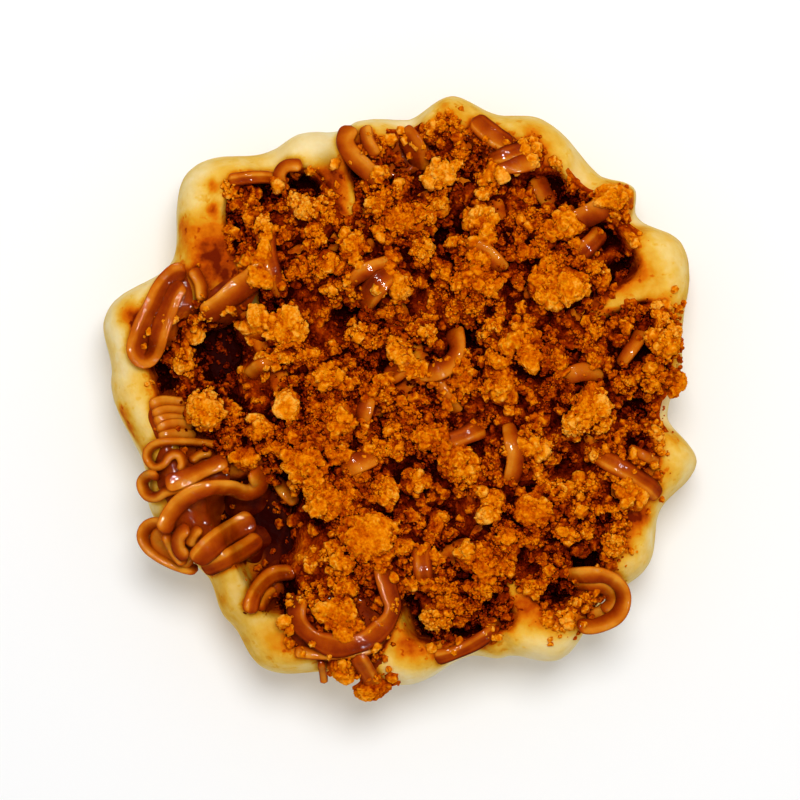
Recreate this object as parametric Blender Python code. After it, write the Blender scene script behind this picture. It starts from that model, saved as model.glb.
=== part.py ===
"""A thick waffle with oblong pockets on both sides, dressed with caramel strands and biscuit crumbs.

The waffle and the caramel lying on it are one solid, and the crumb heap that fills the pockets is another.
The origin is on the table under the middle, +Z is up, and +Y points away from the eater.
"""

import itertools
import math
import random
from functools import lru_cache

import bmesh
import bpy
import numpy as np
from mathutils import Euler, Matrix, Vector
from mathutils.geometry import delaunay_2d_cdt

MM = 0.001
GOLDEN_ANGLE = math.pi * (3 - math.sqrt(5))

# The waffle as it comes from the iron.
THICKNESS = 27 * MM
WEB = 8 * MM
POCKET_DEPTH = (THICKNESS - WEB) / 2
RIM_POINTS = 80

# The rim runs out along the ribs and draws in between them: degrees from +X, and mm from the centre.
RIM = (
    (10, 61.2), (29, 69.0), (38, 64.2), (42.5, 67.7), (49, 64.5), (63, 67.6), (72, 64.8), (80, 66.4),
    (89, 60.3), (98, 60.8), (103, 59.4), (111, 61.3), (117, 60.4), (132, 67.1), (149, 57.6), (164, 66.0),
    (175, 62.3), (195, 56.8), (204, 58.6), (222, 56.0), (232, 60.0), (243, 64.4), (256, 60.2), (271, 60.9),
    (285, 56.6), (292, 59.2), (302, 65.1), (316, 61.0), (326, 63.7), (337, 60.3), (348, 64.8), (357, 57.2),
)

# How far the side draws in from the widest outline, at each share of the thickness.
SIDE = ((0.0, 6.0), (0.05, 3.2), (0.17, 1.0), (0.36, 0.0), (0.64, 0.0), (0.83, 1.0), (0.95, 3.2), (1.0, 6.0))

# The iron's pattern: ribs both ways, turned on the plate.
GRID_TURN = math.radians(24)
GRID_PITCH = (28.2 * MM, 35.7 * MM)
GRID_START = (6.6 * MM, 1.2 * MM)
RIB_CREST = 4.0 * MM
POCKET_LIP = 1.0 * MM
POCKET_DRAFT = 3.2 * MM
POCKET_CORNER = 5.0 * MM
POCKET_RIM = 6.5 * MM
POCKET_SMALLEST = 60 * MM * MM
POCKET_POINTS = 16
SEARCH_STEP = 2 * MM

# Caramel from a squeeze bottle, lying on bare waffle: width, lift over the strands below, and route, in mm.
WAFFLE_STRANDS = (
    (4.0, 0.0, (-42, 28.4), (-45.4, 28), (-49, 27.2), (-52.6, 24.6), (-55.2, 19.6), (-57, 14.6), (-57, 10.4)),
    (3.8, 0.4, (-55, 8.6), (-52.2, 12), (-50.6, 17), (-48.4, 21.4), (-45.4, 24), (-41, 25)),
    (3.4, 0.0, (-43, 19.6), (-36, 23.8), (-30, 28)),
    (3.4, 0.0, (-53, -1.4), (-49.5, -0.8), (-45, -1.7)),
    (3.4, 0.4, (-53.4, -5), (-49.5, -4.2), (-44.5, -5.2)),
    (3.4, 0.0, (-40, -9), (-45.4, -8.2), (-51, -8.6), (-54.4, -11.4), (-52.6, -14.4)),
    (3.8, 0.6, (-54, -15.6), (-54.6, -18.4), (-52, -20.6), (-48.6, -18.8), (-45, -17), (-41, -15.6),
     (-37.4, -14.2)),
    (3.8, 2.4, (-31, -19.4), (-34.6, -19.9), (-38, -18.4), (-41, -18), (-45, -20), (-48.4, -23), (-50, -26.8),
     (-49.6, -30.6), (-47.5, -33.8)),
    (3.8, 0.0, (-50, -25.6), (-53.6, -26.4), (-54.8, -29), (-52.8, -31.6), (-49, -33.6), (-46, -35.6),
     (-42.6, -36)),
    (5.0, 0.8, (-34, -25.6), (-38, -28.5), (-42, -31.6), (-45, -34.2)),
    (4.0, 0.0, (-23.5, -36.8), (-27.3, -37.4), (-29.8, -39.6), (-31, -42.6), (-31, -46)),
    (4.0, 0.0, (36.6, -37.6), (41.6, -37.4), (45.6, -38.8), (47.6, -42), (45.4, -45.4), (41.6, -46.8)),
    (3.2, 0.0, (16, 59), (19.4, 56.2), (24, 54.8), (29, 56)),
)

# Caramel lying on the crumbs, in the same terms.
HEAP_STRANDS = (
    (4.0, 0.4, (-22.4, -41), (-22.6, -44.7), (-20.9, -48), (-17.4, -51.2), (-12.5, -52.4), (-7.4, -51),
     (-3.6, -48.2), (-1.6, -43.6), (-2.5, -38)),
    (4.0, 0.8, (10.3, 15.4), (12.3, 11.4), (11, 8), (7.3, 5.6), (2, 6.2), (-4.1, 6.7)),
    (4.6, 0.8, (-9.6, 28.4), (-7, 24), (-4, 19.4)),
    (3.4, 0.6, (41.7, -12), (48, -16), (54, -20.4)),
    (3.4, 1.0, (11.6, -9.5), (14.4, -8.4), (17.4, -6)),
    (4.4, 0.6, (37, 31), (40, 33.4), (43.4, 36.4)),
    (3.4, 0.6, (46.7, 8), (49.4, 12.4), (51, 17.4)),
    (3.8, 0.6, (2.6, -39), (4.6, -35.6), (6.2, -31)),
    (3.8, 0.8, (-29.5, 35), (-27.4, 29), (-24.3, 23)),
    (3.2, 0.6, (18, 46.4), (22, 48.6), (27, 50.4)),
    (3.4, 0.6, (-12.4, 55.3), (-10.5, 51.8), (-8, 49), (-5.6, 45.6)),
)
STRAND_STEP = 3.2 * MM
STRAND_SINK = 0.15
STRAND_EASE = 9
RIM_DROOP = 0.8

# The crumb bed's edge: degrees from +X, and mm inside the waffle's rim. It draws in over the bare ribs.
BED_EDGE = (
    (5, 3.5), (17, 3.5), (20.5, 6), (25, 21), (30, 12), (36, 4), (52, 6), (66, 6), (76, 6), (84, 4), (98, 4),
    (105, 18), (112, 8), (128, 7), (134, 13), (145, 22), (152, 12), (165, 9), (180, 10), (192, 12), (205, 25),
    (222, 22), (236, 14), (247, 10), (255, 4), (264, 4), (271, 19), (278, 5.5), (290, 5), (295, 7), (301, 20),
    (307, 8), (318, 6), (330, 7), (346, 9), (355, 3.5),
)
BED_LEVEL = 1.4 * MM
BED_LIP = 0.9 * MM
BED_SLOPE = 1.1
BED_SECTORS = 56
BED_POINTS = 460
BED_BUMP = 1.1 * MM

# Patches where the bed dips or rises: x, y, radius and height, in millimetres.
BED_PATCHES = (
    (-28, -29, 9.0, -12), (-37.5, 10.5, 8.5, -12), (0, 51, 5, -4), (-13, 19, 4, -4), (-3, 18, 4, -3),
    (10, 35, 4.5, -4), (15, 15, 3.5, -3), (35, -12, 4.5, -4), (-36, -1, 4.5, -3), (-3, -3, 4, -2),
    (10, -24, 4, -2.5), (33, 22, 12, 1.2), (-18, -16, 9, 1.4), (-6, -29, 8, 1.2), (20, -27, 11, 0.8),
    (-24, 14, 7, 1.0),
)

# Clumps of crumb that stand out of the bed: x, y and radius in millimetres.
CLUMPS = (
    (-25, 15, 5.2), (-42, -2, 5.6), (-24, -1, 4.6), (-15, 5, 4.2), (-13, -5, 4.4), (-21, -13, 5.0),
    (-15, -21, 5.4), (-6, -29, 5.6), (11, -13, 4.0), (11, -44, 5.8), (-13, -46, 5.4), (-6.4, -60.4, 4.4),
    (-12, -55.4, 4.8), (18, -34, 4.6), (28, -23, 5.4), (27, -10, 3.8), (41, -1, 4.2), (13, 5, 3.6),
    (21, 4, 4.2), (33, 24, 6.0), (44, 43, 3.8), (35, 37, 4.8), (8, 48, 4.2), (17, 38, 4.8), (0, 38, 4.4),
    (-10, 33, 4.0), (-21, 41, 4.4), (-2, 26, 4.0), (-33, 43, 3.8), (25, 13, 4.2), (56, 12.5, 3.8),
    (58.4, 4, 3.6), (37, -39, 4.0), (43, -28, 4.2), (-44, 16, 3.4), (-31, 28, 3.6), (50, -20, 3.4),
    (3, -17, 4.2), (16, 26, 4.2), (-33, -12, 3.6),
)
CLUMP_SINK = 0.05
SMALL_CLUMP = 4.5
SMALL_CRUMBS = 26
SMALL_CRUMB_SIZES = (1.7 * MM, 2.7 * MM)
ROUGHNESS = 0.13
CLEARANCE = 0.3 * MM
SLIVER = 0.005 * MM
SEED = 7


def clear_scene():
    for obj in list(bpy.data.objects):
        bpy.data.objects.remove(obj, do_unlink=True)


def collection(name):
    made = bpy.data.collections.new(name)
    bpy.context.scene.collection.children.link(made)
    return made


def material(name, colour, roughness):
    made = bpy.data.materials.new(name)
    made.use_nodes = True
    shader = made.node_tree.nodes["Principled BSDF"]
    shader.inputs["Base Color"].default_value = (*colour, 1)
    shader.inputs["Roughness"].default_value = roughness
    shader.inputs["Metallic"].default_value = 0
    return made


def around(stops, angle):
    """The value of a ring of stops at an angle: a half cosine eases it from each stop to the next."""
    turn = math.degrees(angle) % 360
    ring = [(stops[-1][0] - 360, stops[-1][1]), *stops, (stops[0][0] + 360, stops[0][1])]
    for (start, low), (end, high) in zip(ring, ring[1:]):
        if start <= turn <= end:
            share = (turn - start) / (end - start)
            return (low + (high - low) * (1 - math.cos(math.pi * share)) / 2) * MM
    raise ValueError(turn)


def rim_radius(angle):
    return around(RIM, angle)


@lru_cache
def pocket_reach(degrees):
    """How far out the pockets go: the rim evened over its lobes, less the width that stays solid."""
    nearby = [rim_radius(math.radians(degrees + turn)) for turn in range(-12, 13, 3)]
    return sum(nearby) / len(nearby) - POCKET_RIM


def bed_radius(angle):
    return around(RIM, angle) - around(BED_EDGE, angle)


def grid_to_plan(across, along):
    """From the turned grid of ribs to the plan's own x and y."""
    c, s = math.cos(GRID_TURN), math.sin(GRID_TURN)
    return across * c - along * s, across * s + along * c


def plan_to_grid(x, y):
    c, s = math.cos(GRID_TURN), math.sin(GRID_TURN)
    return x * c + y * s, y * c - x * s


def cell_centre(cell):
    return [start + pitch * (n + 0.5) for start, pitch, n in zip(GRID_START, GRID_PITCH, cell)]


def inside_pocket(x, y, cell):
    """How far a point lies inside the lip of a cell's pocket, with round corners, clear of the rim."""
    half = [(pitch - RIB_CREST) / 2 for pitch in GRID_PITCH]
    gaps = [h - abs(v - c) for h, v, c in zip(half, plan_to_grid(x, y), cell_centre(cell))]
    gaps.append(pocket_reach(round(math.degrees(math.atan2(y, x)))) - math.hypot(x, y))
    return POCKET_CORNER - math.hypot(*[max(0.0, POCKET_CORNER - gap) for gap in gaps])


@lru_cache
def pockets():
    """The cells whose pocket has a floor worth the name, each with the middle of that floor."""
    found = {}
    for cell in itertools.product(range(-3, 3), repeat=2):
        centre = cell_centre(cell)
        ranges = [np.arange(c - p / 2, c + p / 2, SEARCH_STEP) for c, p in zip(centre, GRID_PITCH)]
        plan = [grid_to_plan(across, along) for across in ranges[0] for along in ranges[1]]
        floor = [point for point in plan if inside_pocket(*point, cell) > POCKET_DRAFT]
        if len(floor) * SEARCH_STEP**2 > POCKET_SMALLEST:
            found[cell] = np.mean(floor, axis=0)
    return found


def top_height(x, y):
    """How high the waffle's top is there: crest, sloping wall, pocket floor, or a droop past the rim."""
    place = plan_to_grid(x, y)
    cell = tuple(math.floor((v - start) / pitch) for v, start, pitch in zip(place, GRID_START, GRID_PITCH))
    past_rim = max(0.0, math.hypot(x, y) - rim_radius(math.atan2(y, x)))
    down = inside_pocket(x, y, cell) / POCKET_DRAFT if cell in pockets() else 0
    return THICKNESS - POCKET_DEPTH * min(1.0, max(0.0, down)) - RIM_DROOP * past_rim


def linked(name, mesh):
    """A scene object from a bmesh, which is freed."""
    data = bpy.data.meshes.new(name)
    mesh.to_mesh(data)
    mesh.free()
    obj = bpy.data.objects.new(name, data)
    bpy.context.scene.collection.objects.link(obj)
    return obj


def loft(name, rings):
    """A closed solid through rings of points that run anticlockwise seen from above, lowest ring first."""
    mesh = bmesh.new()
    loops = [[mesh.verts.new(point) for point in ring] for ring in rings]
    count = len(loops[0])
    for low, high in zip(loops, loops[1:]):
        for i in range(count):
            k = (i + 1) % count
            mesh.faces.new((low[i], low[k], high[k]))
            mesh.faces.new((low[i], high[k], high[i]))
    mesh.faces.new(reversed(loops[0]))
    mesh.faces.new(loops[-1])
    return linked(name, mesh)


def rim_ring(share, inset, grow):
    """The outline at a share of the thickness, drawn in by inset and grown by grow."""
    points = []
    for i in range(RIM_POINTS):
        angle = math.tau * i / RIM_POINTS
        radius = rim_radius(angle) - inset + grow
        height = THICKNESS * share + grow * (2 * share - 1)
        points.append((radius * math.cos(angle), radius * math.sin(angle), height))
    return points


def pocket_outline(cell, middle, inset):
    """A pocket's outline at some way inside its lip: where rays walked out from its middle first meet it."""
    points = []
    for i in range(POCKET_POINTS):
        angle = math.tau * i / POCKET_POINTS
        ray = np.array([math.cos(angle), math.sin(angle)])
        reach, step = 0.0, 1 * MM
        while step > 0.001 * MM:
            if inside_pocket(*(middle + ray * (reach + step)), cell) > inset:
                reach += step
            else:
                step /= 2
        points.append(middle + ray * reach)
    return points


def pocket_cutters(grow):
    """One cutter for each pocket, on the top and the underside alike, smaller by grow all round."""
    made = []
    lip = POCKET_LIP
    levels = ((POCKET_DEPTH - grow, POCKET_DRAFT), (lip, lip * 0.7), (0, 0), (-lip, -lip * 0.3))
    for cell, middle in pockets().items():
        plans = [pocket_outline(cell, middle, inset + grow) for _, inset in levels]
        for side in (1, -1):
            face = THICKNESS / 2 + side * (THICKNESS / 2)
            rings = []
            for plan, (below, _) in zip(plans, levels):
                rings.append([(x, y, face - side * below) for x, y in plan])
            made.append(loft(f"pocket_{cell}_{side}", rings if side > 0 else rings[::-1]))
    return made


def smooth_route(route, step):
    """Points a step apart on a smooth curve through the route's own points."""
    ends = [2 * route[0] - route[1], *route, 2 * route[-1] - route[-2]]
    points = []
    for before, start, end, after in zip(ends, ends[1:], ends[2:], ends[3:]):
        count = max(1, round((end - start).length / step))
        for i in range(count):
            t = i / count
            points.append(
                0.5 * (2 * start + (end - before) * t + (2 * before - 5 * start + 4 * end - after) * t**2
                       + (3 * start - before - 3 * end + after) * t**3)
            )
    return [*points, route[-1]]


def lay_down(points, radius, ground, lift):
    """Heights of a strand along its route: it rests on the high places and eases down between them."""
    rest = np.array([ground(p.x, p.y) for p in points]) + radius * STRAND_SINK + lift
    height = rest.copy()
    for _ in range(STRAND_EASE):
        padded = np.concatenate([height[:1], height, height[-1:]])
        height = np.maximum(rest, (padded[:-2] + padded[1:-1] + padded[2:]) / 3)
    return height


def strand(name, width, lift, route, ground, grow=0.0):
    """One caramel strand as a closed tube along its route, thicker and longer by grow."""
    radius = width * MM / 2
    points = smooth_route([Vector(p) * MM for p in route], STRAND_STEP)
    heights = lay_down(points, radius, ground, lift * MM)
    points[0] += (points[0] - points[1]).normalized() * grow
    points[-1] += (points[-1] - points[-2]).normalized() * grow
    curve = bpy.data.curves.new(name, "CURVE")
    curve.dimensions = "3D"
    curve.bevel_depth = radius + grow
    curve.bevel_resolution = 1
    curve.use_fill_caps = True
    spline = curve.splines.new("POLY")
    spline.points.add(len(points) - 1)
    for target, point, height in zip(spline.points, points, heights):
        target.co = (point.x, point.y, height, 1)
    obj = bpy.data.objects.new(name, curve)
    bpy.context.scene.collection.objects.link(obj)
    return welded(as_mesh(obj))


def as_mesh(obj):
    """The object with its modifier or bevel applied, as a plain mesh in its place."""
    bpy.context.view_layer.update()
    name = obj.name
    data = bpy.data.meshes.new_from_object(obj.evaluated_get(bpy.context.evaluated_depsgraph_get()))
    bpy.data.objects.remove(obj, do_unlink=True)
    plain = bpy.data.objects.new(name, data)
    bpy.context.scene.collection.objects.link(plain)
    return plain


def welded(obj):
    """The same object with its cap edges closed."""
    mesh = bmesh.new()
    mesh.from_mesh(obj.data)
    bmesh.ops.remove_doubles(mesh, verts=mesh.verts, dist=0.001 * MM)
    mesh.to_mesh(obj.data)
    mesh.free()
    return obj


def combine(base, others, operation):
    """One Boolean on a collection of the others, applied, with the others then removed."""
    group = collection("operands")
    for other in others:
        group.objects.link(other)
        bpy.context.scene.collection.objects.unlink(other)
    modifier = base.modifiers.new("combine", "BOOLEAN")
    modifier.operand_type = "COLLECTION"
    modifier.collection = group
    modifier.operation = operation
    modifier.solver = "MANIFOLD"
    joined = as_mesh(base)
    for other in others:
        bpy.data.objects.remove(other, do_unlink=True)
    bpy.data.collections.remove(group)
    return joined


def keep_largest_body(obj):
    """Drops the slivers and loose scraps that a Boolean leaves, walking from face to face."""
    mesh = bmesh.new()
    mesh.from_mesh(obj.data)
    bmesh.ops.dissolve_degenerate(mesh, dist=SLIVER, edges=mesh.edges)
    left = set(mesh.faces)
    bodies = []
    while left:
        body = {left.pop()}
        fresh = list(body)
        while fresh:
            near = {face for f in fresh for edge in f.edges for face in edge.link_faces} - body
            body |= near
            fresh = list(near)
        left -= body
        bodies.append(body)
    largest = max(bodies, key=len)
    scraps = [face for body in bodies if body is not largest for face in body]
    bmesh.ops.delete(mesh, geom=scraps, context="FACES")
    mesh.to_mesh(obj.data)
    mesh.free()
    return obj


def waffle_solid(name, grow=0.0):
    """The waffle with its caramel strands fused on. With grow it is the space that crumbs keep clear of."""
    body = loft(name, [rim_ring(share, inset * MM, grow) for share, inset in SIDE])
    body = combine(body, pocket_cutters(grow), "DIFFERENCE")
    strands = [
        strand(f"strand_{n}", width, lift, route, top_height, grow)
        for n, (width, lift, *route) in enumerate(WAFFLE_STRANDS)
    ]
    return combine(body, strands, "UNION")


def bed_height(x, y):
    """The top of the crumb bed: level over the ribs but for its patches, and sloping down at its edge."""
    level = THICKNESS + BED_LEVEL
    for px, py, radius, rise in BED_PATCHES:
        away = math.hypot(x / MM - px, y / MM - py) / radius
        level += rise * MM * math.exp(-(away**2))
    ground = top_height(x, y) + BED_LIP
    inside = max(0.0, bed_radius(math.atan2(y, x)) - math.hypot(x, y))
    floor = THICKNESS - POCKET_DEPTH + BED_LIP
    return max(floor, min(level, ground + BED_SLOPE * inside))


def crumb_bed(name, draw):
    """A slab as wide as the heap, deep enough to fill the pockets, its top a net of crumb-sized bumps."""
    edge = []
    for i in range(BED_SECTORS):
        angle = math.tau * i / BED_SECTORS
        edge.append(Vector((math.cos(angle), math.sin(angle))) * bed_radius(angle))
    inner = []
    for n in range(BED_POINTS):
        angle = n * GOLDEN_ANGLE
        reach = math.sqrt((n + 0.5) / BED_POINTS) * (bed_radius(angle) - BED_BUMP)
        inner.append(Vector((math.cos(angle), math.sin(angle))) * reach)
    rim = [(i, (i + 1) % BED_SECTORS) for i in range(BED_SECTORS)]
    plan, _, faces, *_ = delaunay_2d_cdt(edge + inner, rim, [], 1, 0.01 * MM)
    mesh = bmesh.new()
    top = [mesh.verts.new((p.x, p.y, bed_height(p.x, p.y) + draw.uniform(-1, 1) * BED_BUMP)) for p in plan]
    for face in faces:
        mesh.faces.new([top[i] for i in face])
    base = THICKNESS - POCKET_DEPTH - WEB / 4
    bottom = [mesh.verts.new((top[i].co.x, top[i].co.y, base)) for i in range(BED_SECTORS)]
    for i, k in rim:
        mesh.faces.new((top[k], top[i], bottom[i], bottom[k]))
    mesh.faces.new(reversed(bottom))
    return linked(name, mesh)


def crumb(name, x, y, radius, subdivisions, draw):
    """A rough, slightly flattened lump that sits in the bed."""
    height = bed_height(x, y) - radius * CLUMP_SINK
    turn = Euler([draw.uniform(0, math.tau) for _ in range(3)]).to_matrix().to_4x4()
    stretch = Matrix.Diagonal((draw.uniform(0.9, 1.15), draw.uniform(0.85, 1.1), draw.uniform(0.75, 0.95), 1))
    mesh = bmesh.new()
    bmesh.ops.create_icosphere(mesh, subdivisions=subdivisions, radius=radius)
    for vertex in mesh.verts:
        vertex.co *= 1 + draw.uniform(-ROUGHNESS, ROUGHNESS)
    mesh.transform(Matrix.Translation((x, y, height)) @ stretch @ turn)
    return linked(name, mesh)


def small_crumbs(draw):
    """Small lumps scattered evenly over the heap, by the golden angle with a little drift."""
    made = []
    for n in range(SMALL_CRUMBS):
        angle = n * GOLDEN_ANGLE + draw.uniform(-0.2, 0.2)
        radius = (bed_radius(angle) - 1 * MM) * math.sqrt((n + 0.5) / SMALL_CRUMBS)
        size = draw.uniform(*SMALL_CRUMB_SIZES)
        made.append(crumb(f"crumb_{n}", radius * math.cos(angle), radius * math.sin(angle), size, 1, draw))
    return made


def crumb_heap(name):
    """The bed with its clumps and small crumbs, and the caramel over them, cut clear of the waffle."""
    draw = random.Random(SEED)
    lumps = []
    for n, (x, y, radius) in enumerate(CLUMPS):
        subdivisions = 2 if radius > SMALL_CLUMP else 1
        lumps.append(crumb(f"clump_{n}", x * MM, y * MM, radius * MM, subdivisions, draw))
    strands = [
        strand(f"drizzle_{n}", width, lift, route, bed_height)
        for n, (width, lift, *route) in enumerate(HEAP_STRANDS)
    ]
    heap = combine(crumb_bed(name, draw), lumps + small_crumbs(draw) + strands, "UNION")
    heap = combine(heap, [waffle_solid("clear_space", CLEARANCE)], "DIFFERENCE")
    return keep_largest_body(heap)


def finish(obj, group, finish_material):
    obj.data.materials.clear()
    obj.data.materials.append(finish_material)
    obj.data.shade_smooth()
    obj.data.set_sharp_from_angle(angle=math.radians(40))
    bpy.context.scene.collection.objects.unlink(obj)
    group.objects.link(obj)


def main():
    clear_scene()
    group = collection("topped_waffle")
    dough = material("baked_dough", (0.82, 0.60, 0.24), 0.6)
    crumbs = material("biscuit_crumbs", (0.60, 0.20, 0.02), 0.9)
    finish(waffle_solid("waffle"), group, dough)
    finish(crumb_heap("crumb_heap"), group, crumbs)


main()
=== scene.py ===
import math
import bmesh
import bpy
import numpy as np
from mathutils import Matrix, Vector


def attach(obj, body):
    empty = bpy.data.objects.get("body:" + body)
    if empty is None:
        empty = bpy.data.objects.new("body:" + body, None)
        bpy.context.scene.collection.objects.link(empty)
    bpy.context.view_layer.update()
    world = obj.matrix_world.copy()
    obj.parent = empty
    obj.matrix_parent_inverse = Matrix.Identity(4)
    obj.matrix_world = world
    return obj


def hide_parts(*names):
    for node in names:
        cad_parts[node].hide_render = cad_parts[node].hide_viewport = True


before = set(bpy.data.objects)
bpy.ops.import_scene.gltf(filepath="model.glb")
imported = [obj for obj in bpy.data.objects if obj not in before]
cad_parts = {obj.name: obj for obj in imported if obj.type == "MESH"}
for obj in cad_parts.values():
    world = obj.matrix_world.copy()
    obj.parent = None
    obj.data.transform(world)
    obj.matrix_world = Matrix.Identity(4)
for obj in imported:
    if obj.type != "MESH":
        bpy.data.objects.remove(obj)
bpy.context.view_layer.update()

# A thick waffle with caramel and crushed spiced biscuit on it, seen from straight above.
# Sizes and places are in millimetres, and toMetres turns a finished mesh into metres.
toMetres = 0.001
draw = np.random.default_rng(11)


# Noise and maps

def hashCells(cells, seed):
    # a repeatable number from 0 to 1 for each whole-number cell: coordinates times primes, folded twice
    n = cells[..., 0] * 374761393 + cells[..., 1] * 668265263 + cells[..., 2] * 1440662683 + seed * 974634777
    n = n & 0xFFFFFFFF
    n = ((n ^ (n >> 13)) * 1274126177) & 0xFFFFFFFF
    return ((n ^ (n >> 16)) & 0xFFFFFF) / 0xFFFFFF


def softNoise(points, seed=0):
    # from -1 to 1: the eight corners of each unit cell, mixed by 3t² - 2t³ along each axis
    cell = np.floor(points)
    part = points - cell
    part = part * part * (3 - 2 * part)
    cell = cell.astype(np.int64)
    total = np.zeros(points.shape[:-1])
    for corner in np.ndindex(2, 2, 2):
        share = np.prod(np.where(np.array(corner, bool), part, 1 - part), axis=-1)
        total += share * hashCells(cell + np.array(corner), seed)
    return total * 2 - 1


def layeredNoise(points, seed=0):
    # three layers of softNoise, each twice as fine and half as strong as the one before, over their strengths
    return sum(softNoise(points * 2**k, seed + k) / 2**k for k in range(3)) / 1.75


def grainNoise(points, seed=0):
    # height of round grains, from 0 in the gaps to 1 on top: sqrt(1 - (d / 0.8)²), where d is the distance
    # to the nearest of the points scattered one to a unit cell
    cell = np.floor(points).astype(np.int64)
    near = np.full(points.shape[:-1], 9.0)
    for step in np.ndindex(3, 3, 3):
        other = cell + np.array(step) - 1
        spread = np.stack([hashCells(other, seed + k) for k in range(3)], axis=-1) - 0.5
        near = np.minimum(near, np.linalg.norm(points - other - 0.5 - 0.84 * spread, axis=-1))
    return np.sqrt(np.maximum(0, 1 - (near / 0.8) ** 2))


def flatPoints(x, y, size):
    # points in the plane, in units of size
    return np.stack([x / size, y / size, np.zeros_like(x)], axis=-1)


def smoothStep(x):
    # 0 below 0, 1 above 1, and 3x² - 2x³ between
    x = np.clip(x, 0, 1)
    return x * x * (3 - 2 * x)


def ringValue(stops, angle):
    # a ring of (degrees, value) stops, where half a cosine eases each stop into the next
    turn = np.degrees(angle) % 360
    degrees, values = np.array(stops, float).T
    degrees = np.concatenate([[degrees[-1] - 360], degrees, [degrees[0] + 360]])
    values = np.concatenate([[values[-1]], values, [values[0]]])
    after = np.clip(np.searchsorted(degrees, turn, side="right"), 1, len(degrees) - 1)
    share = (turn - degrees[after - 1]) / (degrees[after] - degrees[after - 1])
    return values[after - 1] + (values[after] - values[after - 1]) * (1 - np.cos(np.pi * share)) / 2


mapStep = 0.5
mapHalf = 72.0
mapAxis = np.arange(-mapHalf, mapHalf + mapStep / 2, mapStep)
mapX, mapY = np.meshgrid(mapAxis, mapAxis)


def readMap(values, x, y):
    # the map's value at any place: the four squares round it, mixed by nearness
    u = np.clip((x + mapHalf) / mapStep, 0, len(mapAxis) - 1.001)
    v = np.clip((y + mapHalf) / mapStep, 0, len(mapAxis) - 1.001)
    i, j = u.astype(int), v.astype(int)
    u, v = u - i, v - j
    low = values[j, i] * (1 - u) + values[j, i + 1] * u
    high = values[j + 1, i] * (1 - u) + values[j + 1, i + 1] * u
    return low * (1 - v) + high * v


def raiseMap(values, points):
    # lifts the map to the highest of the points over each of its squares
    i = np.rint((points[..., 0] + mapHalf) / mapStep).astype(int)
    j = np.rint((points[..., 1] + mapHalf) / mapStep).astype(int)
    np.maximum.at(values, (j, i), points[..., 2])


def soften(values, passes):
    # each pass gives every square a third of itself and a sixth of each neighbour
    for _ in range(passes):
        p = np.pad(values, 1, mode="edge")
        values = values / 3 + (p[1:-1, :-2] + p[1:-1, 2:] + p[:-2, 1:-1] + p[2:, 1:-1]) / 6
    return values


def patches(spots, x, y):
    # the sum of round hills: each is strength times exp(-(distance / radius)²)
    total = np.zeros_like(x)
    for px, py, radius, strength in spots:
        total += strength * np.exp(-((x - px) ** 2 + (y - py) ** 2) / radius**2)
    return total


# Materials

def linear(hexColour):
    # sRGB hex to linear light
    channels = [int(hexColour[k:k + 2], 16) / 255 for k in (1, 3, 5)]
    return (*[c / 12.92 if c <= 0.04045 else ((c + 0.055) / 1.055) ** 2.4 for c in channels], 1)


def addNode(tree, kind, settings=None, links=None):
    # one node: settings go to its inputs or properties by name, links join other nodes' sockets to its inputs
    node = tree.nodes.new("ShaderNode" + kind)
    for name, value in (settings or {}).items():
        if hasattr(node, str(name)):
            setattr(node, name, value)
        else:
            node.inputs[name].default_value = value
    for name, socket in (links or {}).items():
        tree.links.new(socket, node.inputs[name])
    return node


def newMaterial(name):
    # a material, its node tree and its shader
    made = bpy.data.materials.new(name)
    made.use_nodes = True
    tree = made.node_tree
    return made, tree, tree.nodes["Principled BSDF"]


def fillRamp(ramp, stops):
    # gives a colour ramp its stops, listed as (place, hex) from low to high
    points = ramp.color_ramp.elements
    points.remove(points[1])
    points[0].position = stops[0][0]
    for place, _ in stops[1:]:
        points.new(place)
    for point, (_, colour) in zip(points, stops):
        point.color = linear(colour)


def perMm(size):
    # a noise texture's scale for features of that size in millimetres
    return 1 / (size * toMetres)


doughFinish = {
    "wetness": (   # from dry to soaked: fat takes the blue out first, so it goes through yellow to orange
        (0.0, "#F0DDAC"), (0.16, "#ECCB7C"), (0.32, "#E6B444"), (0.48, "#DC961A"), (0.62, "#D87206"),
        (0.8, "#B84600"), (1.0, "#701A00"),
    ),
    # near-black caramel film; in the pockets and on one lobe it is partly painted shade
    "filmAndPaintedShade": "#2A0200",
    "noises": (    # name, size of its features in millimetres, detail
        ("mottle", 9.0, 4.0),       # patches of browning
        ("streaks", 2.4, 3.0),
        ("specks", 2.0, 2.0),       # spots of caramel
        ("pores", 0.9, 2.0),        # fine bubbles of the dough, just large enough to show
    ),
    "ranges": (    # name, the noise's values from and to, and what they become
        ("mottle", 0.3, 0.7, -0.12, 0.12), ("streaks", 0.3, 0.7, 0.8, 1.15), ("specks", 0.62, 0.7, 0.0, 0.35),
    ),
    "roughness": 0.5,
    "filmRoughness": 0.3,
}


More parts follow.
